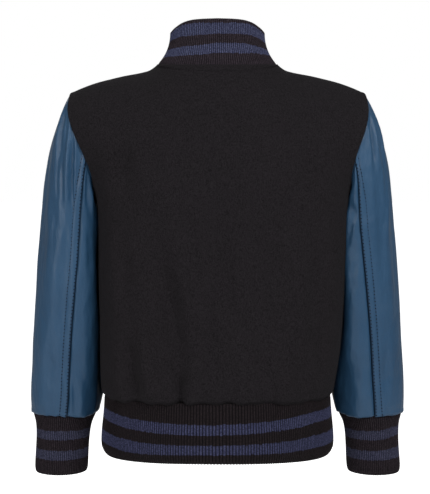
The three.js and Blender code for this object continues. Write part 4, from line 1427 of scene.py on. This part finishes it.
@dataclass
class Snaps:
    """Six domed snap caps down the front."""

    finishes: Finishes
    rows: tuple[float, ...] = (0.62, 0.1, -0.22, -0.53, -0.84)
    band_z: float = -386.0
    gap: float = 0.45
    rib_height: float = 0.4
    profile: tuple[tuple[float, float], ...] = (
        (0, 0),
        (6.3, 0),
        (6.5, 0.25),
        (6.5, 0.8),
        (6.3, 1.15),
        (5.9, 1.35),
        (5.55, 1.3),
        (5.3, 1.42),
        (4.7, 1.75),
        (3.6, 2.1),
        (2.2, 2.32),
        (1.0, 2.39),
        (0, 2.4),
    )

    def build(self) -> list[bpy.types.Object]:
        """Set a cap on the lapped edge at every row, and one on the waistband."""
        step = 1e-3
        made = []
        for index, row in enumerate(self.rows):
            surface = functools.partial(Form.body, FRONT)
            grid = Grid.lay(surface, np.array((-step, 0, step)), np.array((row - step, row, row + step)), 1)
            made.append(self.cap(index + 1, grid, LIFT))
        levels = np.array((self.band_z + step, self.band_z, self.band_z - step))
        grid = Grid.lay(Form.band, np.array((4 - step, 4, 4 + step)), levels, 1)
        made.append(self.cap(len(self.rows) + 1, grid, BAND_LIFT + self.rib_height))
        return made

    def cap(self, index: int, grid: Grid, lift: float) -> bpy.types.Object:
        """Spin one cap and set it on the cloth."""
        place, outward = grid.place[1, 1], grid.normal[1, 1]
        bm = bmesh.new()
        verts = [bm.verts.new((r * MM, 0, height * MM)) for r, height in self.profile]
        edges = [bm.edges.new(pair) for pair in zip(verts, verts[1:])]
        bmesh.ops.spin(
            bm, geom=[*verts, *edges], axis=(0, 0, 1), cent=(0, 0, 0), angle=2 * math.pi, steps=40, use_merge=True
        )
        bmesh.ops.remove_doubles(bm, verts=bm.verts[:], dist=1e-6)
        bmesh.ops.recalc_face_normals(bm, faces=bm.faces[:])
        turn = Vector(outward).to_track_quat("Z", "X").to_matrix().to_4x4()
        turn.translation = Vector(place + outward * (lift + self.gap)) * MM
        bmesh.ops.transform(bm, matrix=turn, verts=bm.verts[:])
        for face in bm.faces:
            face.smooth = True
        piece = finish_mesh(bm, f"snap_cap_{index}", [self.finishes.snap])
        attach(piece, BODY)
        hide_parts(f"snap_{index}")
        return piece


@dataclass
class RibPieces:
    """Collar, cuffs and waistband: ribs at their true pitch, two stripes."""

    finishes: Finishes
    band_ribs: int = 333
    cuff_ribs: int = 88
    collar_ribs: int = 168
    per_rib: int = 5
    rib_height: float = 0.85

    def rib_map(self, phase: Array, height: Array) -> tuple[Array, Array]:
        """Map ribs across at 2 mm each, and courses up from the seam."""
        return phase * 2.0, height

    def cuff(self, side: int) -> bpy.types.Object:
        """Build one cuff."""
        count = self.cuff_ribs * self.per_rib
        ends = np.linspace(0, 1, 6)[1:] * 2.5
        hidden = CUFF_SEAM_Z + 1.6
        rows = np.concatenate([[hidden], np.linspace(CUFF_SEAM_Z, CUFF_END_Z + 2.5, 22), CUFF_END_Z + 2.5 - ends])

        def swell(grid: Grid) -> Array:
            """Raise the ribs, a little uneven."""
            phase = grid.column / (2 * math.pi) * self.cuff_ribs
            return rib_relief(phase, self.rib_height) + 0.35 * waver(grid.place, 45, 60 + side)

        return ClothPiece(
            name=f"cuff_{'left' if side > 0 else 'right'}_rib",
            nodes=(f"cuff_{'left' if side > 0 else 'right'}",),
            slot="rib",
            surface=lambda angle, z: Form.cuff(side, angle, z),
            columns=np.linspace(0, 2 * math.pi, count + 1),
            rows=rows,
            thick=RIB,
            sign=side,
            edges={"bottom": Edge.SEWN, "top": Edge.FREE},
            held="stretched",
            flat=(0.176, 0.068),
            area=0.0118,
            relief=swell,
            map_uv=lambda g: self.cuff_map(side, g),
            round=True,
            materials=[self.finishes.cuff_rib],
        ).build()

    def waistband(self) -> bpy.types.Object:
        """Build the waistband, whose left end laps over the right one."""
        count = self.band_ribs * self.per_rib
        ends = np.linspace(0, 1, 6)[1:] * 3.0
        hidden = HEM_SEAM_Z + 1.6
        rows = np.concatenate([[hidden], np.linspace(HEM_SEAM_Z, BAND_END_Z + 3, 15), BAND_END_Z + 3 - ends])

        def swell(grid: Grid) -> Array:
            """Raise the ribs and lift the lap."""
            phase = (grid.column + OVERLAP) / (4 + 2 * OVERLAP) * self.band_ribs
            lift = BAND_LIFT * smooth_step(grid.column, 4 - LIFT_ENDS, 4 - OVERLAP - 0.015)
            return rib_relief(phase, self.rib_height) + lift + 0.4 * waver(grid.place, 60, 71)

        return ClothPiece(
            name="waistband_rib",
            nodes=("waistband",),
            slot="rib",
            surface=Form.band,
            columns=np.linspace(-OVERLAP, 4 + OVERLAP, count + 1),
            rows=rows,
            thick=RIB,
            sign=1,
            edges={"bottom": Edge.SEWN, "top": Edge.FREE, "left": Edge.FREE, "right": Edge.FREE},
            held="stretched",
            flat=(0.66, 0.065),
            area=0.0425,
            relief=swell,
            map_uv=self.band_map,
            materials=[self.finishes.band_rib],
        ).build()

    def collar(self) -> bpy.types.Object:
        """Build the collar, which stands up from the neckline."""
        count = self.collar_ribs * self.per_rib
        low = np.array((-0.04, 0, 0.02, 0.05))
        rows = np.concatenate([low, np.linspace(0.09, 0.93, 18), 0.93 + 0.07 * np.linspace(0, 1, 7)[1:]])

        def swell(grid: Grid) -> Array:
            """Raise the ribs, which fade in above the seam."""
            phase = (grid.column + COLLAR_END) / (2 * COLLAR_END) * self.collar_ribs
            return rib_relief(phase, self.rib_height) * smooth_step(grid.row, 0, 0.08) + 0.3 * waver(grid.place, 50, 83)

        return ClothPiece(
            name="collar_rib_band",
            nodes=("collar",),
            slot="rib",
            surface=Form.collar,
            columns=np.linspace(-COLLAR_END, COLLAR_END, count + 1),
            rows=rows,
            thick=COLLAR_RIB,
            sign=-1,
            edges={"bottom": Edge.SEWN, "top": Edge.FREE, "left": Edge.FREE, "right": Edge.FREE},
            held="stretched",
            flat=(0.345, 0.052),
            area=0.0152,
            relief=swell,
            map_uv=self.collar_map,
            materials=[self.finishes.collar_rib],
        ).build()

    def cuff_map(self, side: int, grid: Grid) -> tuple[Array, Array]:
        """Map a cuff. The right one's stripes rise a little on its outer side, as shown."""
        height = CUFF_SEAM_Z - grid.row
        if side < 0:
            height = bend_levels(np.degrees(grid.column), height, CUFF_LEVELS, CUFF_STRIPES, CUFF_SEAM_Z - CUFF_END_Z)
        return self.rib_map(grid.column / (2 * math.pi) * self.cuff_ribs, height)

    def band_map(self, grid: Grid) -> tuple[Array, Array]:
        """Map the waistband, whose stripes rise towards the sides, as shown."""
        phase = (grid.column + OVERLAP) / (4 + 2 * OVERLAP) * self.band_ribs
        height = HEM_SEAM_Z - grid.row
        return self.rib_map(phase, bend_levels(grid.column, height, BAND_LEVELS, BAND_STRIPES_PAINTED_SHADE, HEM_SEAM_Z - BAND_END_Z))

    def collar_map(self, grid: Grid) -> tuple[Array, Array]:
        """Map the collar, whose stripes keep their share of its height."""
        phase = (grid.column + COLLAR_END) / (2 * COLLAR_END) * self.collar_ribs
        height = grid.row * COLLAR_HEIGHT
        return self.rib_map(phase, bend_levels(grid.column, height, COLLAR_LEVELS, COLLAR_STRIPES_PAINTED_LIGHT, COLLAR_HEIGHT))

    def build(self) -> list[bpy.types.Object]:
        """Build all four rib pieces."""
        return [self.cuff(1), self.cuff(-1), self.waistband(), self.collar()]


class Stage:
    """Camera, floor and soft studio light."""

    camera_place = (0.00264, 1.2, -0.1463)
    camera_pitch = math.degrees(math.atan(47 / 1090.9))
    focal_pixels = 1090.9
    frame_height = 494
    floor_z = -0.9
    ambient = 0.2

    def build(self) -> None:
        """Set the stage."""
        scene = bpy.context.scene
        data = bpy.data.cameras.new("camera")
        data.sensor_width = 36.0
        data.lens = self.focal_pixels / self.frame_height * data.sensor_width
        camera = bpy.data.objects.new("camera", data)
        camera.location = self.camera_place
        camera.rotation_euler = (math.radians(90 - self.camera_pitch), 0, math.pi)
        scene.collection.objects.link(camera)
        scene.camera = camera
        scene.view_settings.view_transform = "Standard"
        self.floor()
        self.world()
        self.softbox("key", (-1.1, 1.6, 1.15), 0.9, 32)
        self.softbox("fill", (1.3, 1.7, 0.35), 1.4, 19)
        self.softbox("front_fill", (0.2, -1.9, 0.5), 1.6, 10)

    def floor(self) -> None:
        """Lay a plain pale floor."""
        bm = bmesh.new()
        bmesh.ops.create_grid(bm, x_segments=2, y_segments=2, size=300)
        bmesh.ops.translate(bm, verts=bm.verts[:], vec=(0, 0, self.floor_z))
        shader, surface, material = Finishes.start("pale_floor")
        place = shader.node("TexCoord").outputs["Object"]
        tone = shader.spread(shader.noise(place, 3.0), 0.3, 0.7, 0, 1)
        shader.feed(surface.inputs["Base Color"], shader.blend(tone, (0.9, 0.9, 0.9, 1), (0.94, 0.94, 0.94, 1)))
        surface.inputs["Roughness"].default_value = 0.9
        surface.inputs["Specular IOR Level"].default_value = 0.0
        surface.inputs["Emission Color"].default_value = (1, 1, 1, 1)
        shader.feed(surface.inputs["Emission Strength"], shader.node("LightPath").outputs["Is Camera Ray"])
        finish_mesh(bm, "floor", [material])

    def world(self) -> None:
        """Surround the jacket with white, which lights it softly and looks plain to the camera."""
        world = bpy.data.worlds.new("studio")
        world.use_nodes = True
        shader = Shader(world.node_tree)
        seen = shader.node("LightPath").outputs["Is Camera Ray"]
        strength = shader.math("ADD", shader.math("MULTIPLY", seen, 1 - self.ambient), self.ambient)
        light = shader.node("Background", {"Color": (1, 1, 1, 1), "Strength": strength})
        shader.node("OutputWorld", {"Surface": light.outputs[0]})
        bpy.context.scene.world = world

    def softbox(self, name: str, place: tuple[float, float, float], size: float, power: float) -> None:
        """Hang a square softbox that looks at the jacket."""
        data = bpy.data.lights.new(name, "AREA")
        data.shape, data.size, data.energy = "SQUARE", size, power
        light = bpy.data.objects.new(name, data)
        light.location = place
        aim = Vector((0, 0, -0.2)) - Vector(place)
        light.rotation_euler = aim.to_track_quat("-Z", "Y").to_euler()
        bpy.context.scene.collection.objects.link(light)


def main() -> None:
    """Build the jacket's looks in order and report each piece."""
    logging.basicConfig(level=logging.INFO, format="%(message)s")
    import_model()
    Stage().build()
    finishes = Finishes()
    pieces = Panels(finishes).build()
    for side in (1, -1):
        pieces += Sleeve(finishes, side).build()
    pieces += RibPieces(finishes).build() + Snaps(finishes).build()
    for piece in pieces:
        LOG.info("%s: %d faces", piece.name, len(piece.data.polygons))


if __name__ == "__main__":
    main()
